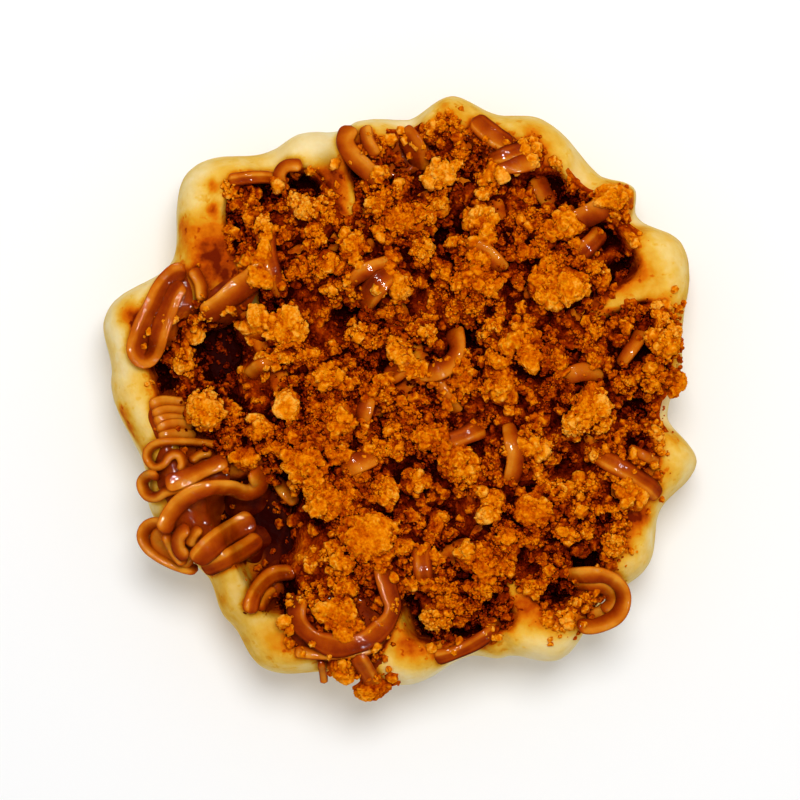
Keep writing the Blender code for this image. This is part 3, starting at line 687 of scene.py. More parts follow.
caramel = {
    "step": 0.45,
    "sides": 26,
    "corner": 0.75,     # 1 makes a ribbon's profile an ellipse, and less makes it squarer
    "thick": 0.85,      # half of a ribbon's thickness
    "sink": 0.3,        # share of its height that a ribbon sinks into what it lies on
    "groove": 0.3,
    "sagPasses": 14,    # how stiffly a ribbon spans the hollows, and how far it sinks into a hill
    "sagLimit": 0.35,
    "endCap": 0.4,      # length of a ribbon's rounded end, in widths
    "change": 5.0,      # length over which a ribbon's width and roll change
    "rollChange": 0.2,
    "widthChange": 0.1,
    "buriedWidthChange": 0.25,
    "bury": 2.6,        # how far the ends of the strands among the crumbs dip down, and over which length
    "buryLength": 3.5,
    "onWaffle": (   # width, cords side by side, roll in degrees, lift over what lies below, route
        (3.0, 1, -40, 0.2, (-44.3, 28.2), (-42.6, 24.9), (-42.1, 21.0)),
        (5.0, 2, -28, 0.2, (-45.4, 27.1), (-47.4, 27.0), (-49.6, 25.3), (-51.3, 22.8), (-52.8, 19.6),
         (-54.4, 16.3), (-55.5, 13.1), (-55.9, 10.8), (-54.9, 9.0), (-53.2, 9.4), (-52.0, 11.6),
         (-51.2, 14.4), (-50.2, 17.4), (-49.0, 20.6), (-47.8, 23.3), (-46.2, 25.2)),
        (6.0, 1, 35, 0.6, (-41.9, 17.6), (-38.5, 20.4), (-34.6, 23.4), (-30.7, 26.4), (-28.2, 28.6)),
        (3.4, 1, 14, -0.3, (-53.4, -1.4), (-50.4, -0.4), (-45.6, -0.9)),
        (3.2, 1, 20, -0.8, (-52.8, -3.3), (-49.9, -2.2), (-45.0, -2.5)),
        (3.2, 1, 10, -0.9, (-52.6, -4.6), (-49.2, -3.9), (-44.6, -4.5)),
        (3.4, 1, 22, -0.8, (-51.8, -6.6), (-48.8, -5.3), (-44.2, -5.7)),
        (3.0, 1, 12, -0.9, (-51.6, -7.9), (-48.0, -7.2), (-43.6, -7.7)),
        (2.0, 1, 40, 0.2, (-40.0, -11.0), (-42.6, -11.4), (-44.9, -12.9)),
        (2.8, 1, -70, 0.2, (-38.6, -9.6), (-41.6, -9.0), (-45.4, -8.6), (-49.7, -8.6), (-52.5, -9.5),
         (-53.8, -11.2), (-53.5, -12.9), (-52.0, -14.0), (-50.3, -13.3), (-49.2, -11.8), (-47.9, -11.2),
         (-46.7, -11.8), (-46.2, -13.5), (-46.9, -15.2)),
        (3.4, 1, -55, 0.4, (-51.2, -15.7), (-53.5, -15.9), (-55.0, -17.2), (-54.8, -18.9), (-53.5, -20.2),
         (-51.6, -20.2), (-49.7, -19.1), (-47.1, -18.3), (-43.6, -17.8), (-40.0, -17.0)),
        (4.0, 1, 25, 0.6, (-36.6, -12.4), (-40.6, -14.0), (-43.9, -15.5), (-46.9, -16.8), (-49.9, -17.4)),
        (4.2, 2, -20, 0.3, (-29.9, -29.0), (-32.5, -31.0), (-35.5, -32.7), (-38.9, -34.4), (-42.4, -35.7)),
        (3.8, 1, -50, 0.6, (-49.2, -27.1), (-51.8, -26.2), (-54.0, -27.1), (-54.8, -29.0), (-53.8, -31.2),
         (-51.6, -32.9), (-49.2, -34.2), (-46.2, -35.5), (-43.2, -36.1)),
        (3.6, 1, 0, -0.6, (-50.2, -27.6), (-51.7, -29.0), (-51.2, -30.9), (-49.2, -32.2), (-46.8, -33.4),
         (-44.2, -34.6)),
        (3.2, 1, -40, 0.8, (-50.1, -27.7), (-49.0, -30.3), (-47.7, -32.7), (-45.6, -34.6)),
        (2.8, 1, 30, 0.6, (-42.2, -26.6), (-44.1, -28.6), (-44.9, -30.9)),
        (3.4, 1, 35, 0.8, (-44.8, -26.5), (-46.9, -28.6), (-47.1, -31.4), (-45.2, -33.5)),
        (4.2, 1, -35, 1.6, (-31.6, -14.4), (-30.1, -16.8), (-30.7, -18.7), (-33.1, -19.4), (-36.1, -18.5),
         (-39.3, -18.3), (-42.4, -18.9), (-44.9, -20.2), (-47.3, -22.1), (-49.2, -24.7), (-50.3, -28.0)),
        (5.4, 3, -14, 1.6, (-31.2, -25.2), (-34.6, -26.9), (-38.3, -29.2), (-41.3, -31.8), (-43.6, -34.4)),
        (2.6, 1, -40, 0.0, (-26.6, -40.2), (-28.6, -41.8), (-30.1, -44.4)),
        (3.8, 2, -25, 0.5, (-22.6, -36.4), (-26.9, -37.0), (-29.7, -39.1), (-31.4, -41.9), (-32.0, -45.2)),
        (3.6, 1, 0, -0.6, (39.6, -45.4), (42.4, -45.5), (44.6, -44.0)),
        (3.0, 1, 30, 0.0, (36.4, -39.1), (41.7, -39.1), (44.3, -40.6), (45.0, -43.0), (43.0, -45.0)),
        (3.8, 1, 38, 0.6, (34.8, -37.2), (40.6, -36.8), (44.0, -37.4), (46.6, -39.6), (47.3, -42.4),
         (46.3, -45.2), (43.9, -47.0), (40.6, -48.0), (37.4, -47.6)),
        (2.8, 2, 20, 0.0, (-36.8, 46.7), (-32.5, 47.3), (-28.2, 47.5), (-25.6, 46.7)),
        (3.0, 1, -30, 0.2, (-25.4, 45.2), (-25.8, 48.0), (-24.3, 49.8), (-20.8, 50.0)),
        (4.4, 1, 20, 0.2, (-10.6, 58.6), (-11.8, 55.0), (-10.1, 51.8), (-7.5, 49.2), (-4.0, 46.2)),
        (3.0, 1, 30, 0.2, (-7.6, 58.6), (-7.0, 55.0), (-5.0, 51.8)),
        (4.4, 3, -15, 0.3, (15.2, 60.0), (17.8, 57.6), (20.2, 55.7), (23.4, 53.8)),
        (2.6, 1, -20, 0.2, (-22.6, -53.0), (-17.8, -53.6), (-13.1, -53.4), (-8.4, -52.8), (-4.0, -51.0)),
        (4.0, 2, 10, 0.2, (-9.4, -53.6), (-7.4, -57.2), (-5.8, -60.2), (-4.8, -62.4)),
        (1.8, 1, 0, 0.0, (-17.0, -55.2), (-16.6, -58.0), (-16.4, -60.4)),
    ),
    "onCrumbs": (
        (4.8, 3, 18, 0.5, (-21.5, -41.0), (-22.1, -44.9), (-20.9, -47.9), (-17.8, -50.5), (-13.5, -51.8),
         (-9.2, -51.2), (-5.6, -49.4), (-2.8, -46.5), (-1.7, -43.2), (-2.8, -39.4), (-3.7, -34.6)),
        (4.4, 2, -12, 0.9, (-28.8, 36.2), (-28.0, 31.4), (-26.9, 27.1), (-25.0, 22.0)),
        (4.6, 1, 25, 1.2, (11.0, 15.6), (12.0, 11.4), (10.5, 8.2), (7.3, 6.2), (2.6, 6.0)),
        (4.2, 2, 15, 0.9, (-1.0, 13.6), (-0.2, 9.7), (-0.2, 6.7), (-3.6, 4.8)),
        (4.6, 2, -15, 1.2, (8.6, -9.0), (13.1, -7.5), (17.6, -5.2)),
        (3.2, 1, 20, 0.2, (7.6, 4.6), (9.7, 1.1), (12.2, -2.6)),
        (3.4, 1, 20, 0.4, (-6.0, 2.8), (-7.5, -1.5), (-8.6, -5.8)),
        (3.8, 1, -20, 0.6, (-12.6, -15.2), (-9.2, -13.1), (-4.8, -11.4)),
        (3.0, 1, 25, 0.8, (-11.6, 24.2), (-8.4, 26.9), (-4.9, 28.6), (-1.0, 29.8)),
        (5.0, 3, -10, 1.2, (-8.4, 19.4), (-6.5, 22.8), (-4.3, 25.4), (-1.6, 27.4)),
        (3.0, 1, 20, 0.8, (-12.8, 30.2), (-9.2, 32.5), (-5.4, 33.5)),
        (4.6, 2, 8, 1.2, (37.0, 30.6), (40.2, 33.3), (43.0, 36.4)),
        (4.2, 1, 25, 0.8, (34.6, 37.2), (39.3, 39.1), (44.6, 42.0)),
        (3.6, 1, 20, 0.3, (32.2, 41.2), (29.9, 44.9), (28.8, 48.0)),
        (3.6, 2, -20, 1.0, (18.0, 50.8), (21.9, 51.8), (25.2, 52.9), (29.2, 54.4)),
        (3.4, 1, -20, 1.0, (16.4, 47.2), (20.9, 48.8), (24.3, 49.7), (28.6, 50.9)),
        (3.0, 1, -25, 0.9, (46.2, 7.4), (48.8, 11.0), (50.5, 13.5), (51.8, 17.0)),
        (3.6, 2, -15, 1.0, (40.6, -11.0), (45.4, -13.5), (49.2, -15.7), (52.7, -18.1), (55.0, -20.4)),
        (2.0, 1, 0, 0.7, (48.2, -10.0), (51.4, -11.6), (54.6, -13.2)),
        (4.4, 2, 0, 1.0, (4.3, -30.2), (4.5, -34.2), (4.9, -38.8)),
        (3.4, 1, 20, 0.8, (-32.6, 5.2), (-29.9, 7.5), (-26.0, 8.2)),
        (3.0, 1, -20, 0.6, (-27.3, -16.0), (-25.2, -18.7), (-22.0, -21.9)),
        (3.6, 1, 20, 0.6, (12.0, 33.4), (17.4, 31.6), (22.0, 27.4)),
        (3.4, 1, -20, 0.4, (22.6, -4.4), (24.2, -12.0), (23.0, -18.0)),
        (3.4, 1, 15, 0.4, (34.0, 4.6), (38.6, 6.2), (43.0, 4.8)),
        (5.2, 2, 32, -0.3, (-0.2, 57.4), (2.0, 54.8), (3.4, 52.0), (4.2, 48.6)),
        (3.2, 2, 15, 0.6, (7.0, -54.6), (11.4, -53.4), (15.6, -51.4), (19.2, -48.8), (21.4, -45.6)),
    ),
    # a pool's brightness is lower where it is deeper, and lower still as painted shade where it lies between
    # strands
    "pools": (   # where caramel has run together: x, y, reach along and across, turn, depth, brightness
        (-47.5, -4.5, 7.0, 6.5, 90, 1.4, 0.14), (-44.0, -15.5, 11.5, 9.0, 90, 2.0, 0.16),
        (-46.5, -27.5, 9.0, 7.5, 60, 2.0, 0.16), (-49.5, 18.5, 10.5, 5.0, 68, 0.9, 0.2),
        (-37.5, 20.5, 9.0, 4.0, 37, 0.9, 0.14), (-29.5, -41.0, 6.0, 4.0, 60, 0.9, 0.12),
        (-12.5, -47.5, 11.0, 8.0, 0, 1.2, 0.06), (42.0, -42.0, 7.0, 6.0, 0, 1.2, 0.14),
        (21.0, 53.5, 8.0, 4.0, -30, 0.9, 0.14), (-33.0, -20.0, 6.0, 5.0, 20, 1.0, -0.05),
        (-32.0, -30.5, 4.5, 4.0, 60, 1.0, -0.05), (0.5, 52.0, 6.5, 5.0, 10, 0.7, 0.24),
        (-7.5, 51.5, 6.0, 4.5, -50, 1.0, 0.14), (-6.0, -58.0, 4.0, 4.5, 90, 0.9, 0.12),
    ),
    "poolCells": 44,
    "poolUneven": 0.22,
    "poolInset": 1.0,   # how far inside the rim a pool ends, and over which width it thins out there
    "poolEase": 3.0,
    "poolEdge": 0.4,    # how far below the ground its edge lies
    "poolFloor": 1.0,
    "poolLevel": 60,    # passes of softening that level the ground for the pools
}


def poolSurface(x, y, along, across, turn, depth, ground, level):
    # a puddle: an ellipse with an uneven edge, whose top is the level between the hills of the ground plus
    # depth * sqrt(1 - r²), easing down into the ground at its edge and before the rim. Its underside lies in
    # the ground.
    cells, turn = caramel["poolCells"], math.radians(turn)
    u, v = discGrid(cells)
    r = np.hypot(u, v)
    chance = np.stack([u * 1.6 + x, v * 1.6 + y, np.zeros_like(u)], -1)
    uneven = 1 + caramel["poolUneven"] * r * softNoise(chance, 73)
    u, v = u * along * uneven, v * across * uneven
    px = x + u * math.cos(turn) - v * math.sin(turn)
    py = y + u * math.sin(turn) + v * math.cos(turn)
    away = np.hypot(px, py)
    limit = rimRadius(np.arctan2(py, px)) - caramel["poolInset"]
    held = np.minimum(1, limit / away)
    px, py = px * held, py * held
    ease = smoothStep((limit - away) / caramel["poolEase"])
    share = smoothStep(2.2 * (1 - r)) * ease
    base = readMap(ground, px, py)
    crown = depth * ease * np.sqrt(np.maximum(0, 1 - r * r))
    top = base + (readMap(level, px, py) - base) * share + crown - caramel["poolEdge"] * (1 - share)
    low = np.minimum(base, top) - caramel["poolFloor"]
    edge = gridEdge(cells)
    faces = [gridFaces(cells + 1, cells + 1), gridFaces(cells + 1, cells + 1, len(px))[:, ::-1]]
    faces = np.concatenate([*faces, ringFaces(edge + len(px), edge)])
    return np.concatenate([np.stack([px, py, top], -1), np.stack([px, py, low], -1)]), faces, share


def makePools(ground, finish):
    # all puddles as one mesh; returns the ground with them on it
    groups, start = [], 0
    level = soften(ground, caramel["poolLevel"])
    raised = ground.copy()
    for *form, brightness in caramel["pools"]:
        points, faces, share = poolSurface(*form, ground, level)
        half = len(points) // 2
        raiseMap(raised, points[:half])
        groups.append((points, faces + start, np.concatenate([brightness + 0.06 * share, 0 * share])))
        start += len(points)
    points, faces, crest = (np.concatenate(part) for part in zip(*groups))
    makePiece("caramel_pools", points, [faces], finish, "waffle", {"crest": crest})
    return raised


def smoothRoute(route, step):
    # a Catmull-Rom curve through the route's points, read off at even steps along its length
    p = np.array(route, float)
    p = np.vstack([2 * p[0] - p[1], p, 2 * p[-1] - p[-2]])
    a, b, c, d = p[:-3], p[1:-2], p[2:-1], p[3:]
    t = np.linspace(0, 1, 24, endpoint=False)[:, None, None]
    curve = 0.5 * (2 * b + (c - a) * t + (2 * a - 5 * b + 4 * c - d) * t**2 + (3 * b - a - 3 * c + d) * t**3)
    curve = np.vstack([curve.transpose(1, 0, 2).reshape(-1, 2), p[-2]])
    length = np.concatenate([[0], np.cumsum(np.hypot(*np.diff(curve, axis=0).T))])
    even = np.linspace(0, length[-1], max(8, round(length[-1] / step)))
    return np.stack([np.interp(even, length, curve[:, k]) for k in (0, 1)], axis=-1), even


def strand(width, cords, roll, lift, route, ground, number, bury):
    # a ribbon: a squared ellipse, half * cos p ^ corner across and thick * sin p ^ corner high, less a groove
    # between each two cords, turned by its roll and carried along the route over the ground; both ends close
    # as half an ellipse. Crest is how bright it is: painted light high on the ribbon, painted shade low on it
    # and in its grooves, and a little darker for strands among the crumbs. Bare is where it hides what lies
    # below it.
    path, along = smoothRoute(route, caramel["step"])
    heading = np.gradient(path, axis=0)
    heading /= np.linalg.norm(heading, axis=1, keepdims=True)
    left = np.stack([-heading[:, 1], heading[:, 0]], axis=-1)
    chance = flatPoints(along, np.full_like(along, number * 3.3), caramel["change"])
    change = caramel["buriedWidthChange"] if bury else caramel["widthChange"]
    half = width / 2 * (1 + change * softNoise(chance, 71))
    thick = np.minimum(half, caramel["thick"])
    tilt = math.radians(roll) + caramel["rollChange"] * softNoise(chance, 72)
    spread = np.hypot(half * np.cos(tilt), thick * np.sin(tilt))
    stand = np.hypot(half * np.sin(tilt), thick * np.cos(tilt))
    below = [path + left * spread[:, None] * side for side in (-0.6, 0, 0.6)]
    rest = np.max([readMap(ground, *line.T) for line in below], axis=0)
    toEnd = np.minimum(along, along[-1] - along)
    dip = bury * (1 - smoothStep(toEnd / caramel["buryLength"]))
    rest = rest + stand * (1 - caramel["sink"]) + lift - dip
    height = rest.copy()
    for _ in range(caramel["sagPasses"]):
        padded = np.concatenate([height[:1], height, height[-1:]])
        height = np.maximum(rest - caramel["sagLimit"], (padded[:-2] + padded[1:-1] + padded[2:]) / 3)
    middle = np.column_stack([path, height])
    ahead = np.gradient(middle, axis=0)
    ahead /= np.linalg.norm(ahead, axis=1, keepdims=True)
    left = np.column_stack([left, np.zeros(len(left))])
    over = np.cross(ahead, left)
    toCap = np.minimum(1, toEnd / (caramel["endCap"] * width))
    cap = np.sqrt(np.maximum(0, 1 - (1 - toCap) ** 2))[:, None]
    turn = np.linspace(0, math.tau, caramel["sides"], endpoint=False)
    across = np.sign(np.cos(turn)) * np.abs(np.cos(turn)) ** caramel["corner"]
    high = np.sign(np.sin(turn)) * np.abs(np.sin(turn)) ** caramel["corner"]
    groove = 0.5 + 0.5 * np.cos(math.tau * cords * (across / 2 + 0.5)) if cords > 1 else 0 * turn
    across = across[None] * half[:, None] * cap
    high = (high * (1 - caramel["groove"] * groove))[None] * thick[:, None] * cap
    sine, cosine = np.sin(tilt)[:, None], np.cos(tilt)[:, None]
    aside, upward = across * cosine - high * sine, across * sine + high * cosine
    rings = middle[:, None] + left[:, None] * aside[..., None] + over[:, None] * upward[..., None]
    count, sides = rings.shape[:2]
    points = np.concatenate([rings[1:-1].reshape(-1, 3), middle[:1], middle[-1:]])
    index = np.arange((count - 2) * sides).reshape(count - 2, sides)
    tube = np.concatenate([ringFaces(near, far) for near, far in zip(index, index[1:])])
    start, end = len(points) - 2, len(points) - 1
    fans = np.concatenate([
        np.stack([np.full(sides, start), np.roll(index[0], -1), index[0]], -1),
        np.stack([np.full(sides, end), index[-1], np.roll(index[-1], -1)], -1),
    ])
    rel = np.clip(0.5 + 0.5 * upward / stand[:, None], 0, 1)
    # painted light and shade: brighter with height on the ribbon, darker in the grooves and for strands among
    # crumbs
    crest = 0.3 * rel + 0.3 * rel**5 - 0.1 * groove + 0.02 - 0.08 * (bury > 0)
    share = smoothStep(toEnd / 3)
    bare = np.dstack([rings[..., :2], np.tile(share[:, None], sides)]).reshape(-1, 3)
    return points, tube, fans, np.append(crest[1:-1].ravel(), [0.2, 0.2]), bare


def lowered(points):
    # draws in what stands over start, so that nothing passes start + room:
    # start + room * (1 - e^(-over / room))
    start, room = heapCeiling
    over = np.maximum(0, points[:, 2] - start)
    points[:, 2] = np.minimum(points[:, 2], start) + room * (1 - np.exp(-over / room))
    return points


def makeStrands(name, listed, ground, node, finish, bury):
    # all strands of a kind as one mesh, each laid on the ones before it; returns the ground with them on it,
    # their points, and where they hide what lies below
    groups, start = [], 0
    ground = ground.copy()
    for number, (width, cords, roll, lift, *route) in enumerate(listed):
        points, tube, fans, crest, bare = strand(width, cords, roll, lift, route, ground, number, bury)
        raiseMap(ground, lowered(points))
        groups.append((points, tube + start, fans + start, crest, bare))
        start += len(points)
    points, tubes, fans, crest, bare = (np.concatenate(part) for part in zip(*groups))
    makePiece(name, points, [tubes, fans], finish, node, {"crest": crest})
    return ground, points, bare


# Crumbs

crumbs = {
    "clumps": (   # the clumps that stand out: x, y and radius
        (-25, 15, 5.2), (-42, -2, 5.6), (-24, -1, 4.6), (-15, 5, 4.2), (-13, -5, 4.4), (-21, -13, 5.0),
        (-15, -21, 5.4), (-6, -29, 5.6), (11, -13, 4.0), (11, -44, 5.8), (-13, -46, 5.4), (-6.3, -60.9, 4.4),
        (-12, -55.4, 4.8), (18, -34, 4.6), (28, -23, 5.4), (27, -10, 3.8), (41, -1, 4.2), (13, 5, 3.6),
        (21, 4, 4.2), (33, 24, 6.0), (44, 43, 3.8), (35, 37, 4.8), (8, 48, 4.2), (17, 38, 4.8), (0, 38, 4.4),
        (-10, 33, 4.0), (-21, 41, 4.4), (-2, 26, 4.0), (-33, 43, 3.8), (25, 13, 4.2), (56, 12.5, 3.8),
        (58.4, 4, 3.6), (37, -39, 4.0), (43, -28, 4.2), (-44, 16, 3.4), (-31, 28, 3.6), (50, -20, 3.4),
        (3, -17, 4.2), (16, 26, 4.2), (-33, -12, 3.6),
    ),
    "largeClump": 4.5,  # the larger ones are a mesh of their own
    "knobs": 2.4,       # knobs and grains on a clump, and how far they stand out
    "knobHeight": 0.9,
    "grains": 1.05,
    "grainHeight": 0.5,
    "grit": 0.14,
    # contrast, closeContrast and middle set the crumbs' painted light and shade by height over the heap's
    # level
    "contrast": 0.3,    # how soon crumbs darken below the heap's level, for each millimetre
    "closeContrast": 0.6,
    "middle": 0.475,    # how bright they are at that level
    "overRim": (0.6, 1.2),   # a crumb stays inside the rim plus the first times its radius, less the second
    "strayInset": 2.5,  # strays keep this far inside the rim, and a few lie anywhere within this radius
    "strayRadius": 52,
    "lumpRadius": 54,   # lumps lie within this one
    "settling": 3,      # passes of softening that lower the crumbs beside an edge
    "broad": 120,       # and those that level the heap, widely and closely, to tell tips from gaps
    "close": 14,
    "soaking": 8.0,     # size of the patches that are soaked with caramel
    "overhangs": (   # crumbs on the rim, past the bed's edge: x, y, radius, strength
        (-12, -56, 5.0, 1.0), (-6, -60, 3.6, 1.0), (57, 14, 4.0, 1.0), (59, 8, 3.4, 1.0), (57, 2, 4.0, 1.0),
        (46, 43, 3.0, 0.7), (-50, 12, 3.0, 0.5), (-20, -52, 3.0, 0.7), (41, -43, 4.0, 1.0),
        (53, -17, 3.0, 0.6), (57, 17.5, 3.0, 0.8), (35, -45, 3.5, 0.8), (-47, 4, 4.0, 0.7),
    ),
    "kinds": (   # name, how many, sides level, radii, gap between them, lift, roughness
        ("lumps", 95, 4, (2.0, 3.2), 4.2, 0.15, 0.0),
        ("coarse_crumbs", 1350, 2, (0.8, 1.5), 1.6, 0.3, 0.3),
        ("medium_crumbs", 2200, 2, (0.5, 0.95), 0.9, 0.35, 0.32),
        ("small_crumbs", 2100, 2, (0.36, 0.62), 0.6, 0.4, 0.34),
        ("biscuit_grains", 8500, 1, (0.18, 0.42), 0.0, 0.4, 0.35),
    ),
}


def ballShape(level):
    # points and triangles of an icosphere of radius 1
    ball = bmesh.new()
    bmesh.ops.create_icosphere(ball, subdivisions=level, radius=1)
    points = np.array([v.co[:] for v in ball.verts])
    faces = np.array([[v.index for v in f.verts] for f in ball.faces])
    ball.free()
    return points, faces


def randomTurns(count):
    # even random rotations as matrices, from unit quaternions
    chosen = draw.normal(size=(4, count))
    w, x, y, z = chosen / np.linalg.norm(chosen, axis=0)
    return np.stack([
        1 - 2 * (y * y + z * z), 2 * (x * y - w * z), 2 * (x * z + w * y),
        2 * (x * y + w * z), 1 - 2 * (x * x + z * z), 2 * (y * z - w * x),
        2 * (x * z - w * y), 2 * (y * z + w * x), 1 - 2 * (x * x + y * y),
    ], axis=-1).reshape(count, 3, 3)


def roughBalls(level, centres, radii, roughness):
    # one crumb at each centre: an icosphere, stretched. With a roughness it is turned and has a random radius
    # at each vertex; the larger crumbs, without one, get lobes, knobs, grains and grit:
    # radius + knob * k + grain * (g - 0.5) + grit. All are a little flattened. Relief is how far each vertex
    # stands out.
    ball, faces = ballShape(level)
    count = len(centres)
    stretch = draw.uniform(0.7, 1.2, (count, 1, 3))
    if roughness:
        uneven = 1 + draw.uniform(-roughness, roughness, (count, len(ball), 1))
        shape = np.einsum("nij,nvj->nvi", randomTurns(count), ball[None] * uneven * stretch)
        shape = shape * radii[:, None, None]
        relief = (uneven[..., 0] - 1) / roughness * 0.5 + 0.5
    else:
        spread = ball[None] * radii[:, None, None] + draw.uniform(0, 900, (count, 1, 3))
        lobes = softNoise(spread / (radii[:, None, None] * 0.9), 81)
        knob = softNoise(spread / crumbs["knobs"], 82)
        grain = grainNoise(spread / crumbs["grains"] + 0.35 * knob[..., None], 83)
        grit = draw.uniform(-1, 1, grain.shape) * crumbs["grit"]
        radius = radii[:, None] * (0.84 + 0.2 * lobes)
        radius = radius + crumbs["knobHeight"] * knob + crumbs["grainHeight"] * (grain - 0.5) + grit
        shape = ball[None] * radius[..., None] * np.maximum(stretch, 0.85)
        relief = 0.25 + 0.25 * knob + 0.45 * grain + grit
    shape = shape * np.array((1, 1, 0.88))
    index = faces[None] + (np.arange(count) * len(ball))[:, None, None]
    return (shape + centres[:, None]).reshape(-1, 3), index.reshape(-1, 3), relief.ravel()


def choosePlaces(density, count, gap):
    # places drawn in proportion to the density map, each at least gap from those kept before it, measured
    # along X plus along Y
    picked = draw.choice(density.size, size=count * 4 if gap else count, p=density.ravel() / density.sum())
    places = np.stack([mapX.ravel()[picked], mapY.ravel()[picked]], -1)
    places = places + draw.uniform(-0.5, 0.5, (len(picked), 2)) * mapStep
    if not gap:
        return places
    kept = np.full((count, 2), 999.0)
    found = 0
    for place in places:
        if found < count and (np.abs(kept[:found] - place).sum(1) > gap).all():
            kept[found] = place
            found += 1
    return kept[:found]


def crumbDensity(caramelShown):
    # maps of how likely crumbs are: in heaps over the bed but for its dips, few on bare caramel, and more on
    # the overhangs; and how likely strays are, near the bed and a few anywhere
    inside = bedInside(mapX, mapY)
    heaped = smoothStep((clusterField(mapX, mapY) + 0.4) / 0.5)
    dips = smoothStep((-patches(bed["patches"] + bed["bare"], mapX, mapY) - 2) / 7)
    overhangs = np.minimum(1, patches(crumbs["overhangs"], mapX, mapY))
    covered = np.maximum(smoothStep((inside + 1.2) / 2), overhangs)
    open = 1 - 0.92 * caramelShown
    density = covered * (0.1 + heaped) * (1 - 0.9 * dips) * open
    middle = np.hypot(mapX, mapY) < crumbs["strayRadius"]
    strays = (0.05 * smoothStep((inside + 5) / 5) + 0.02 * middle) * open
    return density, strays


def crumbBrightness(points, relief, broad, close):
    # painted light and shade: middle, plus tanh of the height over the heap's level, once broad and once
    # close, plus the relief, so tips are lighter and gaps darker; plus patches soaked by caramel; less
    # towards the rim, and not dark outside the bed
    x, y, z = points.T
    outside = np.hypot(x, y) - rimRadius(np.arctan2(y, x))
    paintedLightShadeAndSoak = crumbs["middle"] - 0.1 * smoothStep((outside + 6) / 6)
    paintedLightShadeAndSoak = paintedLightShadeAndSoak + 0.34 * np.tanh(crumbs["contrast"] * np.minimum(1.6, z - readMap(broad, x, y)))
    paintedLightShadeAndSoak = paintedLightShadeAndSoak + 0.2 * np.tanh(crumbs["closeContrast"] * np.minimum(1.2, z - readMap(close, x, y)))
    paintedLightShadeAndSoak = paintedLightShadeAndSoak + 0.08 * softNoise(flatPoints(x, y, crumbs["soaking"]), 91)
    paintedLightShadeAndSoak = np.maximum(paintedLightShadeAndSoak, 0.45 * smoothStep(-bedInside(x, y) / 1.5))
    # painted shade in the grain gaps and painted light on the knobs
    if relief is not None:
        paintedLightShadeAndSoak = paintedLightShadeAndSoak + 0.28 * (relief - 0.5)
    return np.clip(paintedLightShadeAndSoak, 0, 0.9)


def makeCrumbs(ground, caramelTop, caramelShown, corePoints, coreFaces, finish):
    # the core, the clumps and then each kind of crumb, from large to small, each laid on the ones before it
    density, strays = crumbDensity(caramelShown)
    ground = np.maximum(ground, caramelTop)
    past = np.hypot(mapX, mapY) - rimRadius(np.arctan2(mapY, mapX))
    strays = strays * (past < -crumbs["strayInset"])
    reach, inset = crumbs["overRim"]
    built = [("crumb_core", corePoints, coreFaces, None)]
    centres = np.array(crumbs["clumps"])
    radii = centres[:, 2].copy()
    centres[:, 2] = bedHeight(centres[:, 0], centres[:, 1]) - 0.05 * radii
    areLarge = radii > crumbs["largeClump"]
    for name, chosen in (("large_clumps", areLarge), ("clumps", ~areLarge)):
        points, faces, relief = roughBalls(5, centres[chosen], radii[chosen], 0)
        raiseMap(ground, lowered(points))
        built.append((name, points, [faces], relief))
    for name, count, level, (small, large), gap, lift, roughness in crumbs["kinds"]:
        if roughness:
            spread = density + strays
        else:
            spread = density * (np.hypot(mapX, mapY) < crumbs["lumpRadius"])
        places = choosePlaces(spread * (past < reach * large - inset), count, gap)
        radii = small + (large - small) * draw.random(len(places)) ** 1.6
        settled = np.minimum(ground, soften(ground, crumbs["settling"]))
        z = readMap(settled, *places.T) + radii * lift
        points, faces, relief = roughBalls(level, np.column_stack([places, z]), radii, roughness)
        raiseMap(ground, lowered(points))
        built.append((name, points, [faces], relief))
        print(name, len(places), "placed")
    broad, close = soften(ground, crumbs["broad"]), soften(ground, crumbs["close"])
    for name, points, faces, relief in built:
        values = {"paintedLightShadeAndSoak": crumbBrightness(points, relief, broad, close)}
        makePiece(name, points, faces, finish, "crumb_heap", values)


# Floor, light and camera

studio = {         # in metres, but for the two values in millimetres
    "floor": 1.6,
    "floorDrop": 0.0002,
    "floorColour": "#F8F8F8",
    "floorRoughness": 0.9,
    "world": 0.58,
    "reflectedWorld": 0.01,   # the room that shows in reflections is dark, but for the small lamps
    "cameraHeight": 0.9,
    "pixels": 800,
    "pixel": 0.215,           # millimetres
    "middleHeight": 15.0,     # of the waffle, in millimetres
    "centrePixel": (401, 401),
    "largeLamp": 0.3,         # larger lamps light the object, and smaller ones only show in reflections
    "lights": (   # name, place, size, watts
        ("key_softbox", (0.06, 0.26, 0.92), 0.4, 5.2),
        ("glint_lamp", (0.22, -0.18, 0.86), 0.1, 1.4),
        ("second_glint_lamp", (-0.22, 0.3, 0.8), 0.1, 1.4),
        ("third_glint_lamp", (0.08, 0.12, 0.9), 0.08, 0.8),
    ),
}


def lookAt(obj, target):
    # turns a light's or camera's -Z towards the target
    away = obj.location - target
    obj.rotation_euler = away.to_track_quat("Z", "Y").to_euler()


def makeFloor():
    # a square of pale paper just under the waffle, which doesn't show in reflections
    half, level = studio["floor"] / 2, -studio["floorDrop"]
    corners = [(-half, -half, level), (half, -half, level), (half, half, level), (-half, half, level)]
    mesh = bpy.data.meshes.new("studio_floor")
    mesh.from_pydata(corners, [], [(0, 1, 2, 3)])
    paper, _, shader = newMaterial("pale_paper")
    shader.inputs["Base Color"].default_value = linear(studio["floorColour"])
    shader.inputs["Roughness"].default_value = studio["floorRoughness"]
    mesh.materials.append(paper)
    floor = bpy.data.objects.new("studio_floor", mesh)
    bpy.context.scene.collection.objects.link(floor)
    floor.visible_glossy = False


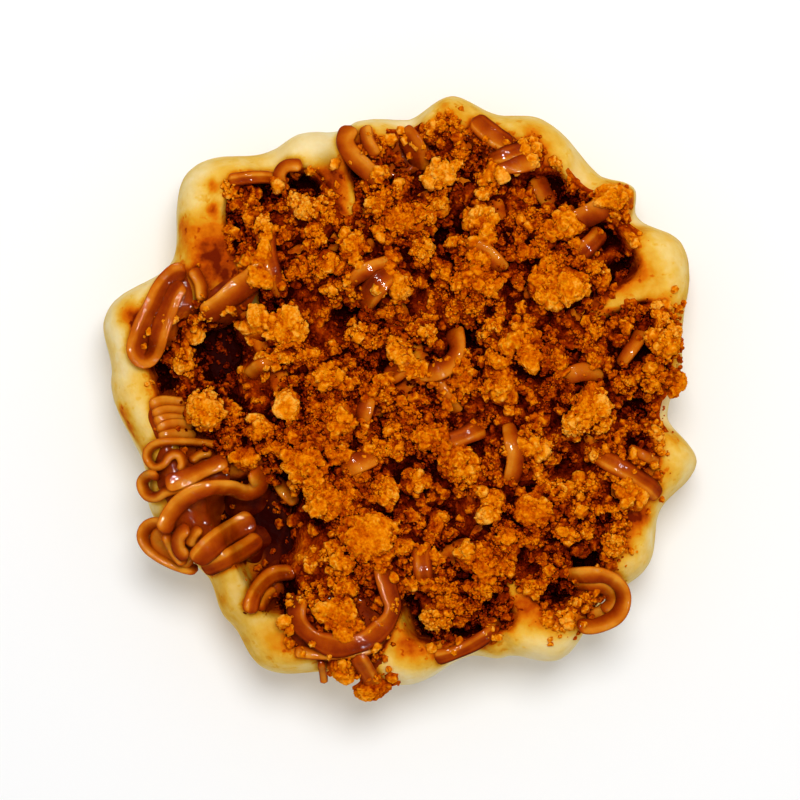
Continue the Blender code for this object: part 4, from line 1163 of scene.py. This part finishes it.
def makeStudio():
    # even light from all sides, the lamps, and a camera straight above at the photo's scale
    scene = bpy.context.scene
    makeFloor()
    world = bpy.data.worlds.new("studio_world")
    world.use_nodes = True
    sky = world.node_tree.nodes["Background"]
    sky.inputs["Color"].default_value = (1, 1, 1, 1)
    rays = addNode(world.node_tree, "LightPath")
    settings = {"To Min": studio["world"], "To Max": studio["reflectedWorld"]}
    strength = addNode(world.node_tree, "MapRange", settings, {"Value": rays.outputs["Is Glossy Ray"]})
    world.node_tree.links.new(strength.outputs[0], sky.inputs["Strength"])
    scene.world = world
    middle = Vector((0, 0, studio["middleHeight"] * toMetres))
    for name, place, size, watts in studio["lights"]:
        light = bpy.data.lights.new(name, "AREA")
        light.shape = "DISK"
        light.size = size
        light.energy = watts
        lamp = bpy.data.objects.new(name, light)
        lamp.visible_glossy = size < studio["largeLamp"]
        lamp.visible_diffuse = size > studio["largeLamp"]
        lamp.location = place
        lookAt(lamp, middle)
        scene.collection.objects.link(lamp)
    camera = bpy.data.cameras.new("camera_above")
    camera.sensor_width = 36
    distance = studio["cameraHeight"] - studio["middleHeight"] * toMetres
    camera.lens = camera.sensor_width * distance / (studio["pixels"] * studio["pixel"] * toMetres)
    camera.clip_start = 0.01
    eye = bpy.data.objects.new("camera_above", camera)
    across, down = studio["centrePixel"]
    pixel, half = studio["pixel"] * toMetres, studio["pixels"] / 2
    eye.location = ((half - across) * pixel, (down - half) * pixel, studio["cameraHeight"])
    scene.collection.objects.link(eye)
    scene.camera = eye
    scene.view_settings.view_transform = "Standard"


makeStudio()
print("studio ready")
biscuit = crushedBiscuit()
sauce = thickCaramel()
waffleGround = roundedTop(mapX, mapY)
corePoints, coreFaces = coreSurface()
coreGround = np.where(bedInside(mapX, mapY) > 0, coreHeight(mapX, mapY), 0)
print("crumb bed worked out")
ground = makePools(np.maximum(waffleGround, coreGround), sauce)
withStrands, lowPoints, lowBare = makeStrands(
    "caramel_on_waffle", caramel["onWaffle"], ground, "waffle", sauce, 0)
_, highPoints, highBare = makeStrands(
    "caramel_on_crumbs", caramel["onCrumbs"], withStrands, "crumb_heap", sauce, caramel["bury"])
caramelTop, caramelShown = np.zeros_like(mapX), np.zeros_like(mapX)
raiseMap(caramelTop, np.concatenate([lowPoints, highPoints]))
highBare[:, 2] *= smoothStep(1.15 - 1.8 * softNoise(flatPoints(*highBare[:, :2].T, 4.0), 95))
raiseMap(caramelShown, np.concatenate([lowBare, highBare]))
caramelShown = np.minimum(1, 1.15 * soften(caramelShown, 2))
print("caramel laid")
makeDough(soften((caramelTop > 0).astype(float), 6))
makeCrumbs(ground, caramelTop, caramelShown, corePoints, coreFaces, biscuit)
print("crumbs scattered")
